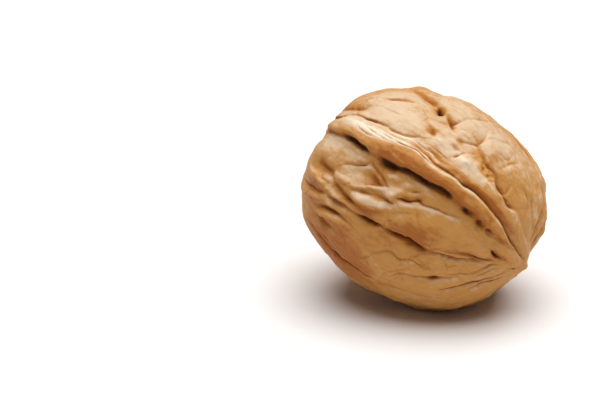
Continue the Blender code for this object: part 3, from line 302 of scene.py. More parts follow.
# Soft rises, and hollows where the height is below zero: (down, round, reach along, reach across, height)
SWELLS = [
    # bounds of the outline: hips on the right limb, shoulders on the left
    (42, 84, 20, 22, 1.2), (118, -78, 26, 26, 0.8), (157, -20, 12, 14, -0.8), (151, -20, 6, 7, -0.4),
    (68, 80, 18, 20, 0.42), (118, 62, 22, 24, -0.5), (24, 110, 14, 24, -0.4), (16, 110, 8, 16, -0.3),
    (18, -170, 12, 24, -0.7), (50, -122, 24, 22, 0.7), (20, 40, 12, 12, -0.5), (151, 26, 12, 16, 0.5),
    (133, 47, 4, 8, -0.25), (122.5, 57, 5, 9, 0.4), (114, 56, 6, 10, -0.65), (98, 62, 6, 10, 0.2),
    (86, 77, 6, 8, -0.2), (45, 85, 5, 8, -0.45), (33, 103, 7, 12, 0.45), (112, -105, 12, 14, -0.25),
    (144, -42, 7, 9, 0.35),
    # broad lobes
    (124, 12, 16, 9, 0.5), (103, 10, 10, 7, 0.4), (104, 52, 14, 10, 0.3), (84, 32, 6, 8, 0.5),
    (70, 34, 7, 8, 0.5), (56, 36, 8, 10, 0.3), (95, 40, 5, 7, 0.3), (132, -30, 13, 8, 0.9),
    (67, -33, 18, 8, 0.5), (70, -66, 26, 14, 0.3), (45, -24, 14, 8, 0.2),
    # the plateau among the folds, and the round beads
    (97, -39.5, 7, 3.2, 0.7), (136, -42, 8, 8, 0.4), (88, -29, 2.4, 2.4, 0.7), (97, -25, 2, 2, 0.4),
    (102, -24, 2, 1.8, 0.35), (86, -25, 2.2, 2.2, 0.45), (84, -20, 2.2, 2, 0.45), (81, -17, 2, 2, 0.3),
    (77, -17, 2.6, 2.2, 0.4), (74, -18, 2.4, 2, 0.3), (81, -23, 2.4, 1.8, 0.35), (90, -20, 2.4, 2.2, 0.3),
    (95, -21, 4, 2, 0.3),
    # hollows on the left cheek
    (125.5, -42, 4, 3, -1.2), (120, -40, 3.5, 2.5, -0.6), (113, -44.5, 4.5, 2, -0.9),
    (105, -45.5, 4, 2.2, -0.9), (106, -29, 4, 3, -0.35), (99, -28, 4, 2.5, -0.5), (93, -40, 4, 3, -0.3),
    # small hills and pits between the second lip and the lobes
    (91, 15, 3.5, 3, 0.4), (88, 10, 3, 2.6, 0.35), (84, 15, 3.4, 3, 0.35), (81, 19, 2, 2, -0.35),
    (80, 14, 1.8, 1.8, -0.35), (78, 18, 1.6, 1.6, -0.3), (72, 13, 5, 3.5, 0.4), (66, 19, 1.3, 1.3, -0.5),
    (63, 21, 1.2, 1.2, -0.5), (65, 22, 1.2, 1.2, -0.4), (61, 20, 1.2, 1.2, -0.4), (68, 21, 1.2, 1.2, -0.3),
    (65, 17.5, 1.2, 1.2, -0.35), (62, 16.5, 1.2, 1.2, -0.35), (59, 16, 1.2, 1.2, -0.3),
    # nib at the tip, round scar at the stem end
    (3, 90, 9, 9, 0.1), (3.5, 115, 2.4, 2.4, 0.45), (180, 0, 9, 9, -0.9),
]

# Streaks of colour along rows of (down, round, strength, half width): 2 is worn to cream, below 0 is rust, in
# places painted shade
STREAKS = [
    [(150, -7, 0.2, 0.7), (130, -7, 0.9, 0.9), (120, -7, 1.3, 1.0), (111, -7, 1.5, 0.9),
     (104, -6, 1.5, 0.65), (98, -4, 1.6, 0.4), (92, -3, 1.6, 0.28), (87, -3, 1.6, 0.25), (82, -4.5, 1.5),
     (76, -3.5, 1.3), (69, -2.5, 1.2, 0.24), (62, -1.5, 1.1, 0.22), (54, -0.5, 1.0, 0.2), (46, -1, 0.8),
     (38, -2, 0.6), (28, -2, 0.3)],
    [(107, -2, 0.4, 0.25), (102, 0, 1.2, 0.26), (98, 2, 1.4), (93, 3, 1.4), (88, 2, 1.1, 0.22),
     (82, 0, 0.5, 0.2)],
    # Partly painted shade: rust on the flank that falls from the crest to the undercut furrow
    [(130, -15, -0.2, 0.6), (115, -13, -0.3, 0.9), (104, -12, -0.8, 1.1), (92, -9, -1.0, 1.0),
     (80, -8, -0.9, 0.9), (66, -6, -0.6, 0.8), (52, -5, -0.3), (38, -5, -0.2, 0.7)],
    # Painted shade: rust on the face beside the hairline that turns down
    [(84, 2, -0.4, 0.3), (76, 2, -0.8, 0.35), (66, 3, -1.0, 0.45), (54, 5, -0.8), (42, 5, -0.6),
     (32, 5, -0.3, 0.35)],
    [(92, 9, 0.4, 0.9), (78, 10, 0.7, 1.0), (66, 10, 0.8, 0.9), (55, 12, 0.7, 0.8), (44, 14, 0.5, 0.7),
     (34, 17, 0.3, 0.6)],
    [(104, -42, 0.2, 0.5), (101, -40.5, 0.8, 0.6), (97, -39, 1.0), (93, -38.5, 1.0), (89, -37, 0.7, 0.5),
     (85, -35, 0.4, 0.4)],
    # Painted shade: rust under the lower edge of the pale plateau
    [(105, -46, -0.6, 0.7), (99, -45, -0.8), (93, -43.5, -0.8), (88, -41, -0.5, 0.6)],
    [(85, -66, 0.2, 0.25), (83, -67, 0.4, 0.3), (77, -73, 0.5), (78, -81, 0.3), (80, -84, 0.1, 0.25)],
    [(84, -31, 0.3, 0.3), (79, -28, 0.5, 0.4), (73, -24, 0.45), (66, -21, 0.3, 0.35), (58, -20, 0.2, 0.25)],
    [(145, -25, 0.2, 0.8), (130, -23, 0.3), (118, -22, 0.3, 0.7), (106, -21, 0.3, 0.6)],
    [(103, -36, 0.3, 0.3), (98, -32, 0.6), (92, -28, 0.3)],
    [(112, -26, 0.4, 0.2), (107, -25, 0.7), (104, -23, 0.4)],
]

# Stains of colour, some of them painted shadow and painted shade: (down, round, reach, strength)
STAINS_AND_PAINTED_SHADE = [
    # Partly painted shade: dark spots in pits and hollows, (98, 30) (94, 13) (64, 17) (98, -28) (126, -41)
    # (111, -44) (104, -46)
    (116, 14, 24, 1.1), (86, 28, 20, 0.6), (72, 14, 10, 0.5), (104, 62, 26, 0.45), (106, 22, 8, -0.5),
    (62, 52, 20, 0.25), (30, 80, 20, 0.3), (72, 20, 6, -0.4), (50, 4, 8, -0.3), (60, 55, 26, 0.1),
    (126, -32, 12, 0.3), (112, -28, 6, 0.4), (88, -34, 10, 0.5), (70, -24, 10, 0.3), (98, 30, 7, -0.6),
    (94, 13, 2.5, -1.2), (64, 17, 4, -0.5), (88, -29, 3, 0.4), (97, -25, 2, 0.4), (86, -24, 3, 0.2),
    (80, -35, 3, 0.4), (81, -17, 5, 0.3), (92, -21, 4, 0.3), (82, -24, 2.5, -0.6), (98, -28, 3, -0.8),
    (126, -41, 5, -0.5), (111, -44, 3.5, -0.3), (104, -46, 3, -0.3), (107, -30, 5, 0.3),
    # Painted shadow: the dark spot at down 100, round -84 darkens the low left cheek
    (100, -84, 22, -1.3), (133, -25, 6, 0.4), (116, -42, 5, 0.4), (99, -40, 6, 0.4), (96, 36, 8, 0.3),
    (76, 40, 10, 0.4), (66, 42, 8, 0.3), (32, 50, 8, 0.3), (56, -42, 5, 0.5), (128, -58, 8, -0.4),
    (68, -40, 14, -0.8), (84, -48, 8, -0.4), (60, -88, 26, 0.1),
]

# Where the net of fine veins is bolder or smoother than usual: (down, round, reach, height added)
NET = [
    # bold places
    (88, -22, 10, 0.30), (78, 14, 14, 0.20), (122, -48, 12, 0.10), (90, 40, 22, 0.12), (90, 140, 60, 0.25),
    (90, -140, 50, 0.20),
    # smooth places
    (60, -68, 30, -0.12), (124, 15, 18, -0.11), (62, -34, 16, -0.11), (100, -10, 14, -0.10),
]

# Sides that no one has seen: long wandering furrows drawn by a seeded rule
SEED = 7
HIDDEN_LANES = [78, 94, 110, 126, 142, 158, 166, 194, 206, 222, 236, 250]
HIDDEN_START = (150, 166)
HIDDEN_END = 22
HIDDEN_ROWS = (4, 8)
HIDDEN_DEPTH = (0.5, 1.5)
HIDDEN_ENDS = 0.3
HIDDEN_UNEVEN = (0.7, 1.1)
HIDDEN_WIDTH = (0.5, 0.8)
HIDDEN_STRIDE = (6, 10)
HIDDEN_SWAY = 4
HIDDEN_PULL = 0.15
HIDDEN_GAP = (2, 8)
HIDDEN_BANK = 0.3
HIDDEN_LEAN = 0.2
HIDDEN_LIP = 0.1
LANE_SPREAD = 3
TIP_CLEAR = 10
TIP_FADE = 20

# Section of a ridge and of a furrow: its crack, soft valley, lips and banks, and the most that is carved
RIDGE_SQUARENESS = 4
CRACK_SHARE = 0.75
CRACK_SHARPNESS = 1.3
VALLEY_WIDTHS = 2.5
LIP_AT = 2.4
LIP_WIDTHS = 1.2
BANK_STEEPNESS = 2.0
BANK_REACH = 3.0
FULL_BANK_DEPTH = 0.6
CARVE_LIMIT = 3.2

# How a run is sampled, and how far a ridge or a streak, in half widths, and a furrow are felt
RUN_STEP = 0.2
SLIDE_LIMIT = 0.11
NARROWEST = 0.05
BLOCK = 4096
FELT_WIDTHS = 4.0
FURROW_REACH = 6.0

# Net of fine veins: how it is warped, and the gap between cells that counts as a vein
NET_WARP = 0.8
NET_WARP_SIZE = 0.7
VEIN_GAP = 0.6

# Noise in the shape: its seed, what furrows stray by, how uneven they are, and the ripple, as (size, octaves)
NOISE_SEED = 1796100592
WANDER_SIZE = 2.2
FINE_WANDER_SIZE = 0.8
FINE_WANDER = 0.4
UNEVEN_NOISE = (1.6, 2)
UNEVEN_SHARE = 0.3
RIPPLE_NOISE = (2.6, 4)
RIPPLE_OFFSET = 50
NOISE_FALL = 1.0
NOISE_STEP = 2.0

# What marks the colour: full ink, the widest bead and fold that count, and the most painted light facing up
# adds
INK_DEPTH = 1.6
INK_WIDTHS = 0.9
BEAD_REACH = 6.0
FOLD_WIDTH = 1.0
UP_LIMIT = 0.6

# Fibre: how far its long way is shrunk, and its width at the ends of the nut
FIBRE_SHRINK = 0.3
FIBRE_ENDS = 0.5

# Noise in the material, as (scale, detail, roughness)
PATCHES = (480.0, 6.0, 0.6)
FIBRE_STREAKS = (1.8, 4.0, 0.55)
GRAIN = (3.0, 6.0, 0.65)
PORES = (1100.0, 4.0, 0.6)
CRACKLE_BEND = (420.0, 1.0, 0.5)
CRACKLE_CLOUDS = (170.0, 2.0, 0.5)

# Crackle: how its cells are bent and scaled, how near their edge its lines are, and where it fades in
CELL_BEND = (0.0009, 0.0009, 0.0009)
CELL_SCALE = 400.0
LINE_SPAN = (0.08, 0.008)
CLOUD_SPAN = (0.47, 0.72)

# Shade: middle of its noises, spans of rise for hollows and crests, and the weight of each
NOISE_MIDDLE = 0.5
HOLLOW_SPAN = (0.0, -0.9)
CREST_SPAN = (0.1, 0.9)
PATCH_WEIGHT = 1.2
STREAK_WEIGHT = 1.1
CRACKLE_WEIGHT = -0.45
# Darker hollows are partly painted shade, and paler crests partly wear and partly painted highlight
HOLLOW_WEIGHT = -0.5
CREST_WEIGHT = 0.3

# Spans of ink over which the colour turns to rust and then to dark, and the shell turns rough
RUST_SPAN = (0.05, 0.5)
DARK_SPAN = (0.25, 0.9)
ROUGH_SPAN = (0.0, 0.5)
CRACK_ROUGHNESS = 0.9
SHELL_SHINE = 0.2

# Bumps, as (strength, distance in metres)
PORE_BUMP = (0.4, 0.0003)
CRACKLE_BUMP = (0.35, -0.0001)
GRAIN_BUMP = (0.4, 0.0003)

# Sockets of the mix node for colours
MIX_FIRST = 6
MIX_SECOND = 7
MIX_RESULT = 2

# Floor, sky and camera
WHITE = (1.0, 1.0, 1.0, 1.0)
FLOOR_ROUGHNESS = 0.7
FLOOR_SHINE = 0.1
CLIP_START = 0.01


def number(name, description, default, subtype='NONE'):
    return FloatProperty(name=name, description=description, default=default, subtype=subtype)


def length(name, description, default):
    return FloatProperty(name=name, description=description, default=default, unit='LENGTH')


def angle(name, description, degrees):
    return number(name, description, math.radians(degrees), 'ANGLE')


def tint(name, description, default):
    return FloatVectorProperty(name=name, description=description, default=(*default, 1.0), size=4,
                               subtype='COLOR')


class ShellSize(PropertyGroup):
    """Size of the smooth nut under its relief, and how it lies."""
    tip_reach: length("Tip Reach", "From the middle of the nut to its tip", 0.0194)
    stem_reach: length("Stem Reach", "From the middle of the nut to its stem end", 0.0194)
    seam_radius: length("Seam Radius", "From the long axis to either seam", 0.0164)
    cheek_radius: length("Cheek Radius", "From the long axis to either cheek", 0.0168)
    taper: number("Taper", "How much slimmer the nut is at its tip", 0.07)
    cheek_shear: number("Cheek Shear", "How far forward the right cheek is set", 0.045)
    tip_fullness: number("Tip Fullness", "Roundness of the tip half", 0.03)
    stem_fullness: number("Stem Fullness", "Roundness of the stem half", 0.06)
    roll: angle("Roll", "Turn about the long axis", 35.4)
    pitch: angle("Pitch", "How far the tip points down", 23.2)
    rest_cut: length("Flat Spot", "Depth of the flat spot that the nut rests on", 0.0006)


class ShellRelief(PropertyGroup):
    """Fine relief of the shell."""
    wander: length("Wander", "How far furrows stray from their drawn line", 0.00015)
    net_height: length("Net Height", "Height of the net of veins where it is plain", 0.00016)
    net_cell: length("Net Cell", "Size of the cells between the veins", 0.0034)
    net_stretch: number("Net Stretch", "Width of a cell beside its length", 0.55)
    ripple: length("Ripple", "Height of the uneven ripple all over", 0.00012)


class ShellLook(PropertyGroup):
    """Colours and finish of the shell."""
    # Rust in the soft hollows is partly painted shade
    rust: tint("Rust", "Colour low on the cheeks and in soft hollows", (0.42, 0.13, 0.018))
    tan: tint("Tan", "Colour of the open shell", (0.60, 0.28, 0.07))
    # Pale is also where the painted light from above takes the sides that face up
    pale: tint("Pale", "Colour of the dry upper side", (0.74, 0.53, 0.34))
    cream: tint("Cream", "Colour of the worn crest of the seam", (0.90, 0.76, 0.56))
    # Crack colour is partly painted shade down in the cracks
    ink: tint("Crack", "Colour down in the cracks", (0.07, 0.025, 0.009))
    # Painted light: the sides that face up are painted paler, as light from above would make them
    painted_light_from_above: number("PaintedLightFromAbove", "How much paler the sides that face up are", 0.8)
    roughness: number("Roughness", "Roughness of the open shell", 0.5, 'FACTOR')


class StageLook(PropertyGroup):
    """Floor, light and camera."""
    floor: tint("Floor", "Colour of the floor", (0.90, 0.89, 0.88))
    floor_size: length("Floor Size", "Side of the floor", 8.0)
    sky: number("Sky", "Strength of the even light from all round", 0.1)
    sun: number("Sun", "Strength of the soft light from above", 3.75)
    sun_spread: angle("Sun Spread", "Width of the soft light as an angle", 66)
    sun_azimuth: angle("Sun Azimuth", "Side the soft light comes from, as the camera's", 165)
    sun_elevation: angle("Sun Elevation", "Height of the soft light as an angle", 85.5)
    azimuth: angle("Camera Azimuth", "Side the camera looks from, 0 along +Y", 32.4)
    elevation: angle("Camera Elevation", "Height of the camera as an angle", 22)
    lens: number("Lens", "Focal length in millimetres", 200.0)
    sensor: number("Sensor", "Width of the film in millimetres", 36.0)


class WalnutSettings(PropertyGroup):
    """All settings of the walnut."""
    size: PointerProperty(type=ShellSize)
    relief: PointerProperty(type=ShellRelief)
    look: PointerProperty(type=ShellLook)
    stage: PointerProperty(type=StageLook)


def place(down, around):
    """Unit vectors in the nut's own axes."""
    down = np.radians(down)
    around = np.radians(around)
    return np.stack([np.cos(down), np.sin(down) * np.sin(around), np.sin(down) * np.cos(around)], axis=-1)


def unit(vectors):
    return vectors / np.linalg.norm(vectors, axis=-1, keepdims=True)


class SmoothNut:
    """The nut without relief: an egg, blunt at the stem end, with its right cheek set forward."""

    def __init__(self, size):
        self.tip = size.tip_reach * MILLIMETRES
        self.stem = size.stem_reach * MILLIMETRES
        self.seam = size.seam_radius * MILLIMETRES
        self.cheek = size.cheek_radius * MILLIMETRES
        self.taper = size.taper
        self.shear = size.cheek_shear
        self.tip_fullness = size.tip_fullness
        self.stem_fullness = size.stem_fullness

    def surface(self, way):
        """Points of the smooth nut along unit vectors from its middle."""
        along, side, seam = way[..., 0], way[..., 1], way[..., 2]
        fullness = (self.tip_fullness * (1 + along) + self.stem_fullness * (1 - along)) / 2
        reach = np.where(along > 0, self.tip, self.stem)
        girth = 1 - self.taper * along
        x = reach * along * (1 + fullness * (1 - along ** 2)) + self.shear * self.cheek * side
        return np.stack([x, self.cheek * side * girth, self.seam * seam * girth], axis=-1)

    def outward(self, way):
        """Unit normals of the smooth nut, near enough for relief this low."""
        return unit(way / np.array([self.tip, self.cheek, self.seam]))


def spot(way, down, around, long, cross):
    """A soft round mask, 1 at the place and falling to nothing past its two reaches, in degrees."""
    centre = place(down, around)
    to_stem = place(down + 90, around)
    across = np.cross(centre, to_stem)
    off_long = np.degrees(np.arctan2(way @ to_stem, way @ centre))
    off_cross = np.degrees(np.arctan2(way @ across, way @ centre))
    return np.exp(-(off_long / long) ** 2 - (off_cross / cross) ** 2) * (way @ centre > 0)


def widest(rows):
    """The greatest half width along a run."""
    return max(row[3] for row in rows if len(row) > 3)


def full_rows(rows):
    """The rows of a run, each with its half width: its own, or that of the row before it."""
    filled = []
    for row in rows:
        width = row[3] if len(row) > 3 else filled[-1][3]
        filled.append((*row[:3], width))
    return np.array(filled, dtype=float)


def smooth_run(nut, rows):
    """Samples along a Catmull-Rom curve through the rows: place on the smooth nut, depth and width."""
    rows = full_rows(rows)
    knots = np.hstack([place(rows[:, 0], rows[:, 1]), rows[:, 2:]])
    knots = np.vstack([2 * knots[0] - knots[1], knots, 2 * knots[-1] - knots[-2]])
    samples = []
    for a, b, c, d in zip(knots[:-3], knots[1:-2], knots[2:-1], knots[3:]):
        span = np.linalg.norm(nut.surface(b[:3]) - nut.surface(c[:3]))
        t = np.arange(0, 1, RUN_STEP / max(span, RUN_STEP))[:, None]
        samples.append(b + 0.5 * t * (c - a + t * (2 * a - 5 * b + 4 * c - d + t * (3 * (b - c) + d - a))))
    samples = np.vstack(samples + [knots[-2][None]])
    samples[:, 4] = np.maximum(samples[:, 4], NARROWEST)
    way = unit(samples[:, :3])
    return nut.surface(way), nut.outward(way), samples[:, 3:]


def measure(nut, points, rows, reach):
    """For the points within reach of a run: their signed distance, side direction, depth and width."""
    line, normal, size = smooth_run(nut, rows)
    tangent = unit(np.gradient(line, axis=0))
    near = np.all((points > line.min(axis=0) - reach) & (points < line.max(axis=0) + reach), axis=1)
    near = np.flatnonzero(near)
    closest = np.empty(len(near), dtype=int)
    for start in range(0, len(near), BLOCK):
        block = points[near[start:start + BLOCK]]
        gap = ((block[:, None] - line[None]) ** 2).sum(axis=2)
        closest[start:start + BLOCK] = gap.argmin(axis=1)
    offset = points[near] - line[closest]
    slide = np.clip((offset * tangent[closest]).sum(axis=1, keepdims=True), -SLIDE_LIMIT, SLIDE_LIMIT)
    offset = offset - slide * tangent[closest]
    across = np.cross(normal[closest], tangent[closest])
    distance = np.linalg.norm(offset, axis=1) * np.sign((offset * across).sum(axis=1))
    keep = np.abs(distance) < reach
    return near[keep], distance[keep], across[keep], size[closest[keep]]


def hidden_furrows():
    """Wandering furrows in lanes along the unseen sides, each lane in several lengths with gaps."""
    rng = np.random.default_rng(SEED)
    furrows = []
    for lane in HIDDEN_LANES:
        down = rng.uniform(*HIDDEN_START)
        around = lane + rng.uniform(-LANE_SPREAD, LANE_SPREAD)
        while down > HIDDEN_END:
            count = int(rng.integers(*HIDDEN_ROWS))
            deep = rng.uniform(*HIDDEN_DEPTH)
            rows = []
            for index in range(count):
                fade = HIDDEN_ENDS if index in (0, count - 1) else rng.uniform(*HIDDEN_UNEVEN)
                fade *= min(max(down - TIP_CLEAR, 0) / TIP_FADE, 1)
                rows.append((down, around, deep * fade, rng.uniform(*HIDDEN_WIDTH)))
                down -= rng.uniform(*HIDDEN_STRIDE)
                around += rng.uniform(-HIDDEN_SWAY, HIDDEN_SWAY) + HIDDEN_PULL * (lane - around)
            bank = rng.uniform(-HIDDEN_BANK, HIDDEN_BANK)
            lean = rng.uniform(-HIDDEN_LEAN, HIDDEN_LEAN)
            furrows.append(Furrow(rows, bank, lean, HIDDEN_LIP))
            down -= rng.uniform(*HIDDEN_GAP)
    return furrows


def draw_noise(points, size, octaves):
    """Smooth noise of about -1 to 1 with features of the given size."""
    spread = map(Vector, points / size)
    return np.array([noise.fractal(point, NOISE_FALL, NOISE_STEP, octaves) for point in spread])


def stray(points, size):
    """Smooth noise vectors with features of the given size."""
    return np.array([noise.noise_vector(point) for point in map(Vector, points / size)])


def net(points, way, relief):
    """Height of the net of fine veins, longer along the nut."""
    bold = np.full(len(way), relief.net_height * MILLIMETRES)
    for down, around, reach, height in NET:
        bold += height * spot(way, down, around, reach, reach)
    cell = relief.net_cell * MILLIMETRES
    heights = np.empty(len(points))
    for index, point in enumerate(points):
        spread = Vector((point[0] * relief.net_stretch, point[1], point[2])) / cell
        warp = noise.noise_vector(spread * NET_WARP_SIZE) * NET_WARP
        nearest = noise.voronoi(spread + warp)[0]
        heights[index] = min(nearest[1] - nearest[0], VEIN_GAP)
    return (heights / VEIN_GAP - 0.5) * np.maximum(bold, 0)


def section(furrow, distance, full, width):
    """Depth of the groove, and height of its lips and banks, at these distances from its line."""
    crack = np.exp(-np.abs(distance / width) ** CRACK_SHARPNESS)
    valley = np.exp(-np.abs(distance) / (VALLEY_WIDTHS * width))
    groove = full * (CRACK_SHARE * crack + (1 - CRACK_SHARE) * valley)
    lips = furrow.lip * full * np.exp(-((np.abs(distance) - LIP_AT * width) / (LIP_WIDTHS * width)) ** 2)
    step = np.tanh(BANK_STEEPNESS * distance / width) * np.exp(-(distance / BANK_REACH) ** 2)
    return groove, lips + furrow.bank * step * np.minimum(full / FULL_BANK_DEPTH, 1)


def raise_forms(nut, way, strayed):
    """Height of the swells and ridges, and how much of it shows as small beads and folds."""
    height = np.zeros(len(way))
    rise = np.zeros(len(way))
    for down, around, long, cross, swell in SWELLS:
        bulge = swell * spot(way, down, around, long, cross)
        height += bulge
        if max(long, cross) <= BEAD_REACH:
            rise += bulge
    for rows in RIDGES:
        index, distance, _, size = measure(nut, strayed, rows, FELT_WIDTHS * widest(rows))
        fold = size[:, 0] / (1 + (distance / size[:, 1]) ** RIDGE_SQUARENESS)
        height[index] += fold
        if widest(rows) <= FOLD_WIDTH:
            rise[index] += fold
    return height, rise


def cut_furrows(nut, points, strayed):
    """What the furrows bring: depth carved, height of lips and banks, the shift of a lean, and ink."""
    carved = np.zeros(len(points))
    edges = np.zeros(len(points))
    shift = np.zeros(points.shape)
    ink = np.zeros(len(points))
    uneven = 1 + UNEVEN_SHARE * draw_noise(points, *UNEVEN_NOISE)
    for furrow in FURROWS + hidden_furrows() + LINES:
        index, distance, across, size = measure(nut, strayed, furrow.rows, FURROW_REACH)
        full, width = np.maximum(size[:, 0], 0), size[:, 1]
        groove, sides = section(furrow, distance, full, width)
        groove = groove * uneven[index]
        carved[index] += groove
        edges[index] += sides
        shift[index] += (furrow.lean * groove)[:, None] * across
        # Ink grows with the depth of a crack: partly its dark colour, partly painted shade
        dark = np.clip(furrow.ink * full * uneven[index] / INK_DEPTH, 0, 1)
        ink[index] = np.maximum(ink[index], dark * np.exp(-(distance / (INK_WIDTHS * width)) ** 2))
    return carved, edges, shift, ink


def stain_and_painted_shade(nut, way, strayed):
    """Tone of colour, some of it painted shadow and painted shade: 0 is tan, 1 is pale, 2 is cream and -1 is
    rust.
    """
    tone = np.zeros(len(way))
    for down, around, reach, strength in STAINS_AND_PAINTED_SHADE:
        tone += strength * spot(way, down, around, reach, reach)
    for rows in STREAKS:
        index, distance, _, size = measure(nut, strayed, rows, FELT_WIDTHS * widest(rows))
        tone[index] += size[:, 0] * np.exp(-(distance / size[:, 1]) ** 2)
    return tone


def carve(nut, way, relief):
    """Points of the shell and what marks its surface: ink in the cracks, rise, and tone of colour."""
    noise.seed_set(NOISE_SEED)
    points = nut.surface(way)
    wander = relief.wander * MILLIMETRES
    strayed = points + wander * stray(points, WANDER_SIZE)
    strayed += FINE_WANDER * wander * stray(points, FINE_WANDER_SIZE)
    height, rise = raise_forms(nut, way, strayed)
    carved, edges, shift, ink = cut_furrows(nut, points, strayed)
    veins = net(points, way, relief) * np.exp(-carved)
    ripple = relief.ripple * MILLIMETRES * draw_noise(points + RIPPLE_OFFSET, *RIPPLE_NOISE)
    height += edges + veins + ripple
    height -= CARVE_LIMIT * (1 - np.exp(-carved / CARVE_LIMIT))
    marks = {"ink": ink, "rise": rise + veins + ripple - carved, "tone": stain_and_painted_shade(nut, way, strayed)}
    return points + height[:, None] * nut.outward(way) + shift, marks


def towards(azimuth, elevation):
    """Unit vector from the object to a camera or light at these angles."""
    level = math.cos(elevation)
    return Vector((math.sin(azimuth) * level, -math.cos(azimuth) * level, math.sin(elevation)))


def keep_mesh(name, pieces):
    """A mesh made of the bmesh, which is freed."""
    mesh = bpy.data.meshes.new(name)
    pieces.to_mesh(mesh)
    pieces.free()
    return mesh


def fine_ball(facing):
    """An even ball of radius 1 whose edges are halved once more on the side that is facing."""
    ball = bmesh.new()
    bmesh.ops.create_icosphere(ball, subdivisions=BALL_SUBDIVISIONS, radius=1.0)
    fine = [edge for edge in ball.edges if all(corner.co.dot(facing) > FINE_FROM for corner in edge.verts)]
    bmesh.ops.subdivide_edges(ball, edges=fine, cuts=1, use_grid_fill=True)
    return keep_mesh("shell", ball)


def read_vectors(mesh, name):
    """The place ("co") or the direction ("normal") of each corner of the mesh."""
    flat = np.empty(len(mesh.vertices) * 3)
    mesh.vertices.foreach_get(name, flat)
    return flat.reshape(-1, 3)


def keep_mark(mesh, name, values):
    """Stores a number or a vector for each corner, which the shell's material reads by name."""
    kind, field = ('FLOAT', "value") if values.ndim == 1 else ('FLOAT_VECTOR', "vector")
    mark = mesh.attributes.new(name, kind, 'POINT')
    mark.data.foreach_set(field, values.astype(np.float32).ravel())


def fibre_places(nut, way):
    """Places measured along the nut and round it, in millimetres, with the long way shrunk."""
    along = FIBRE_SHRINK * nut.tip * way[:, 0]
    around = np.arctan2(way[:, 1], way[:, 2])
    width = nut.cheek * (FIBRE_ENDS + (1 - FIBRE_ENDS) * np.hypot(way[:, 1], way[:, 2]))
    return np.stack([along, width * np.sin(around), width * np.cos(around)], axis=1)


def lying(size):
    """How the nut is turned as it lies."""
    return Euler((size.roll, size.pitch, 0)).to_matrix()


def lay_down(points, size):
    """Turns the nut as it lies, sinks it by its flat spot and sets it over the solid of the frame."""
    corners = points * METRES @ np.array(lying(size)).T
    low, high = corners.min(axis=0), corners.max(axis=0)
    solid_low, solid_high = (np.array(corner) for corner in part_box("walnut"))
    corners[:, :2] += (solid_low + solid_high - low - high)[:2] / 2
    corners[:, 2] = np.maximum(corners[:, 2] - low[2] - size.rest_cut, 0)
    off_low = np.abs(corners.min(axis=0) - solid_low).max()
    off_high = np.abs(corners.max(axis=0) - solid_high).max()
    if max(off_low, off_high) > SAME_BOX:
        raise RuntimeError(f"the fine shell strays from its solid by {max(off_low, off_high):.5f} m")
    return corners


def up_more(mesh, way, nut, size):
    """How much more each corner faces up than the smooth nut does there, within its limit: the painted light
    from above.
    """
    smooth = nut.outward(way) @ np.array(lying(size)).T
    return np.clip(read_vectors(mesh, "normal")[:, 2] - smooth[:, 2], -UP_LIMIT, UP_LIMIT)


def add_node(tree, kind, inputs, **settings):
    """A new node with its settings and inputs: a value, or an output socket to link."""
    node = tree.nodes.new(kind)
    for name, value in settings.items():
        setattr(node, name, value)
    for name, value in inputs.items():
        if isinstance(value, bpy.types.NodeSocket):
            tree.links.new(value, node.inputs[name])
        else:
            node.inputs[name].default_value = value
    return node


def read_mark(tree, name, output="Fac"):
    return add_node(tree, "ShaderNodeAttribute", {}, attribute_name=name).outputs[output]


def add_noise(tree, place_on, kind, output="Fac"):
    scale, detail, roughness = kind
    inputs = {"Vector": place_on, "Scale": scale, "Detail": detail, "Roughness": roughness}
    return add_node(tree, "ShaderNodeTexNoise", inputs).outputs[output]


def mix_colour(tree, factor, first, second):
    inputs = {"Factor": factor, MIX_FIRST: first, MIX_SECOND: second}
    return add_node(tree, "ShaderNodeMix", inputs, data_type='RGBA').outputs[MIX_RESULT]


def mask(tree, value, low, high):
    """0 where the value is at low, 1 at high, smooth between."""
    inputs = {"Value": value, "From Min": low, "From Max": high}
    return add_node(tree, "ShaderNodeMapRange", inputs, interpolation_type='SMOOTHSTEP').outputs["Result"]


def add_crackle(tree, place_on):
    """Thin crackle over the skin, one along its lines and nought in its cells; it fades out in patches."""
    bend = add_noise(tree, place_on, CRACKLE_BEND, "Color")
    bent = add_node(tree, "ShaderNodeVectorMath", {0: bend, 1: CELL_BEND, 2: place_on},
                    operation='MULTIPLY_ADD').outputs["Vector"]
    cells = add_node(tree, "ShaderNodeTexVoronoi", {"Vector": bent, "Scale": CELL_SCALE},
                     feature='DISTANCE_TO_EDGE').outputs["Distance"]
    lines = mask(tree, cells, *LINE_SPAN)
    fading = mask(tree, add_noise(tree, place_on, CRACKLE_CLOUDS), *CLOUD_SPAN)
    return add_node(tree, "ShaderNodeMath", {0: lines, 1: fading}, operation='MULTIPLY').outputs[0]


def add_shade(tree, place_on, fibre, crackle):
    """Tone of colour with what shifts it: patches, streaks, crackle, and hollows and crests, partly painted
    shade and highlight.
    """
    rise = read_mark(tree, "rise")
    shade = read_mark(tree, "tone")
    for value, middle, weight in (
            (add_noise(tree, place_on, PATCHES), NOISE_MIDDLE, PATCH_WEIGHT),
            (add_noise(tree, fibre, FIBRE_STREAKS), NOISE_MIDDLE, STREAK_WEIGHT),
            (crackle, 0.0, CRACKLE_WEIGHT),
            (mask(tree, rise, *HOLLOW_SPAN), 0.0, HOLLOW_WEIGHT),
            (mask(tree, rise, *CREST_SPAN), 0.0, CREST_WEIGHT)):
        off = add_node(tree, "ShaderNodeMath", {0: value, 1: middle}, operation='SUBTRACT').outputs[0]
        shade = add_node(tree, "ShaderNodeMath", {0: off, 1: weight, 2: shade},
                         operation='MULTIPLY_ADD').outputs[0]
    return shade


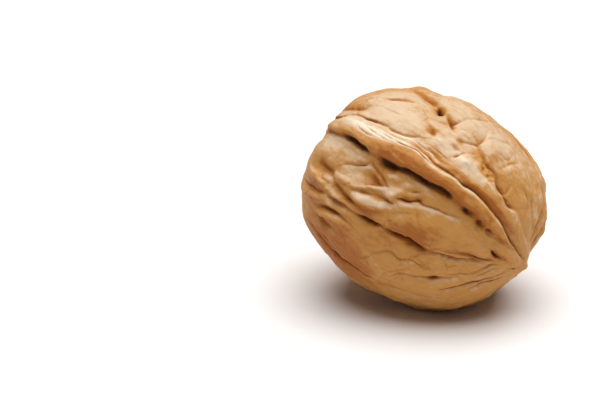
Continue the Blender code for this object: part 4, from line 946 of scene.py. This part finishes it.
def add_colour(tree, look, shade, ink):
    """Colour that runs from rust over tan and pale to cream, and is dark in the cracks, partly as painted
    shade.
    """
    colour = tuple(look.rust)
    for level, paler in enumerate((look.tan, look.pale, look.cream)):
        colour = mix_colour(tree, mask(tree, shade, level - 1.0, level), colour, tuple(paler))
    for span, darker in ((RUST_SPAN, look.rust), (DARK_SPAN, look.ink)):
        colour = mix_colour(tree, mask(tree, ink, *span), colour, tuple(darker))
    return colour


def add_bumps(tree, bumps):
    """Normals bent by each of the bumps in turn."""
    normal = {}
    for height, (strength, distance) in bumps:
        inputs = {"Height": height, "Strength": strength, "Distance": distance, **normal}
        normal = {"Normal": add_node(tree, "ShaderNodeBump", inputs).outputs["Normal"]}
    return normal["Normal"]


def new_material(name, shine):
    material = bpy.data.materials.new(name)
    material.use_nodes = True
    shader = material.node_tree.nodes["Principled BSDF"]
    shader.inputs["Specular IOR Level"].default_value = shine
    return material, shader


def shell_material(look):
    """Dry shell, paler on its crests and dark in its cracks, partly by painted highlight and painted shade.
    """
    material, shader = new_material("shell", SHELL_SHINE)
    tree = material.node_tree
    place_on = add_node(tree, "ShaderNodeTexCoord", {}).outputs["Object"]
    fibre = read_mark(tree, "fibre", "Vector")
    ink = read_mark(tree, "ink")
    crackle = add_crackle(tree, place_on)
    shade = add_shade(tree, place_on, fibre, crackle)
    rough = {"Value": mask(tree, ink, *ROUGH_SPAN), "To Min": look.roughness, "To Max": CRACK_ROUGHNESS}
    rough = add_node(tree, "ShaderNodeMapRange", rough).outputs["Result"]
    pores = add_noise(tree, place_on, PORES)
    grain = add_noise(tree, fibre, GRAIN)
    bumps = add_bumps(tree, ((pores, PORE_BUMP), (crackle, CRACKLE_BUMP), (grain, GRAIN_BUMP)))
    tree.links.new(add_colour(tree, look, shade, ink), shader.inputs["Base Color"])
    tree.links.new(rough, shader.inputs["Roughness"])
    tree.links.new(bumps, shader.inputs["Normal"])
    return material


def floor_material(look):
    """Plain pale floor."""
    material, shader = new_material("floor", FLOOR_SHINE)
    shader.inputs["Base Color"].default_value = tuple(look.floor)
    shader.inputs["Roughness"].default_value = FLOOR_ROUGHNESS
    return material


def link_new(name, data):
    item = bpy.data.objects.new(name, data)
    bpy.context.scene.collection.objects.link(item)
    return item


class WALNUT_OT_grow_shell(Operator):
    """Grow the fine shell of the walnut in the place of its solid"""
    bl_idname = "walnut.grow_shell"
    bl_label = "Grow Shell"

    def execute(self, context):
        settings = context.scene.walnut
        size = settings.size
        facing = lying(size).transposed() @ towards(settings.stage.azimuth, settings.stage.elevation)
        mesh = fine_ball(facing)
        way = unit(read_vectors(mesh, "co"))
        nut = SmoothNut(size)
        points, marks = carve(nut, way, settings.relief)
        mesh.vertices.foreach_set("co", lay_down(points, size).ravel())
        mesh.update()
        mesh.shade_smooth()
        # Painted light: the sides that face up are painted paler, as light from above would make them
        marks["tone"] += settings.look.painted_light_from_above * up_more(mesh, way, nut, size)
        marks["fibre"] = fibre_places(nut, way)
        for name, values in marks.items():
            keep_mark(mesh, name, values)
        mesh.materials.append(shell_material(settings.look))
        shell = link_new("walnut_shell", mesh)
        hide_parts("walnut")
        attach(shell, "root")
        return {'FINISHED'}


class WALNUT_OT_set_stage(Operator):
    """Set the pale floor, the soft light and the camera"""
    bl_idname = "walnut.set_stage"
    bl_label = "Set Stage"

    def execute(self, context):
        stage = context.scene.walnut.stage
        add_floor(stage)
        add_sky(context.scene, stage)
        add_sun(stage)
        add_camera(context.scene, stage)
        return {'FINISHED'}


def add_floor(stage):
    plane = bmesh.new()
    bmesh.ops.create_grid(plane, x_segments=1, y_segments=1, size=stage.floor_size / 2)
    mesh = keep_mesh("floor", plane)
    mesh.materials.append(floor_material(stage))
    link_new("floor", mesh)


def add_sky(scene, stage):
    """Weak even light from all round, which the camera sees as plain white."""
    world = bpy.data.worlds.new("sky")
    world.use_nodes = True
    scene.world = world
    tree = world.node_tree
    lit = tree.nodes["Background"]
    lit.inputs["Color"].default_value = WHITE
    lit.inputs["Strength"].default_value = stage.sky
    seen = add_node(tree, "ShaderNodeBackground", {"Color": WHITE, "Strength": 1.0})
    camera_ray = add_node(tree, "ShaderNodeLightPath", {}).outputs["Is Camera Ray"]
    mixed = {"Fac": camera_ray, 1: lit.outputs["Background"], 2: seen.outputs["Background"]}
    mixed = add_node(tree, "ShaderNodeMixShader", mixed).outputs["Shader"]
    tree.links.new(mixed, tree.nodes["World Output"].inputs["Surface"])


def turn_to(item, way):
    """Turns a light or a camera so that it looks that way."""
    item.rotation_euler = way.to_track_quat('-Z', 'Y').to_euler()


def add_sun(stage):
    sun = bpy.data.lights.new("sun", 'SUN')
    sun.energy = stage.sun
    sun.angle = stage.sun_spread
    turn_to(link_new("sun", sun), -towards(stage.sun_azimuth, stage.sun_elevation))


def add_camera(scene, stage):
    """The camera looks from the picture's side, with the nut where the picture has it."""
    back = towards(stage.azimuth, stage.elevation)
    right = Vector((math.cos(stage.azimuth), math.sin(stage.azimuth), 0))
    up = back.cross(right)
    middle = Vector(NUT_MIDDLE)
    focal_pixels = stage.lens / stage.sensor * PICTURE_WIDTH
    distance = focal_pixels / PIXELS_PER_MM * METRES
    pixel = METRES / PIXELS_PER_MM
    aside = right * (NUT_ACROSS - PICTURE_WIDTH / 2) * pixel
    above = up * (NUT_DOWN - PICTURE_HEIGHT / 2) * pixel
    camera = bpy.data.cameras.new("camera")
    camera.lens = stage.lens
    camera.sensor_width = stage.sensor
    camera.clip_start = CLIP_START
    item = link_new("camera", camera)
    item.location = middle + back * distance
    turn_to(item, middle - aside + above - item.location)
    scene.camera = item
    scene.view_settings.view_transform = 'Standard'


class WALNUT_PT_panel(Panel):
    """Settings and steps of the walnut"""
    bl_idname = "WALNUT_PT_panel"
    bl_label = "Walnut"
    bl_space_type = 'VIEW_3D'
    bl_region_type = 'UI'
    bl_category = "Walnut"

    def draw(self, context):
        settings = context.scene.walnut
        for title, group in (("Size", settings.size), ("Relief", settings.relief), ("Look", settings.look),
                             ("Stage", settings.stage)):
            box = self.layout.box()
            box.label(text=title)
            for name in group.bl_rna.properties.keys():
                if name not in ("rna_type", "name"):
                    box.prop(group, name)
        self.layout.operator(WALNUT_OT_grow_shell.bl_idname)
        self.layout.operator(WALNUT_OT_set_stage.bl_idname)


CLASSES = (
    ShellSize,
    ShellRelief,
    ShellLook,
    StageLook,
    WalnutSettings,
    WALNUT_OT_grow_shell,
    WALNUT_OT_set_stage,
    WALNUT_PT_panel,
)


def register():
    for item in CLASSES:
        bpy.utils.register_class(item)
    bpy.types.Scene.walnut = PointerProperty(type=WalnutSettings)


def unregister():
    del bpy.types.Scene.walnut
    for item in reversed(CLASSES):
        bpy.utils.unregister_class(item)


def main():
    register()
    bpy.ops.walnut.grow_shell()
    bpy.ops.walnut.set_stage()


if __name__ == "__main__":
    main()
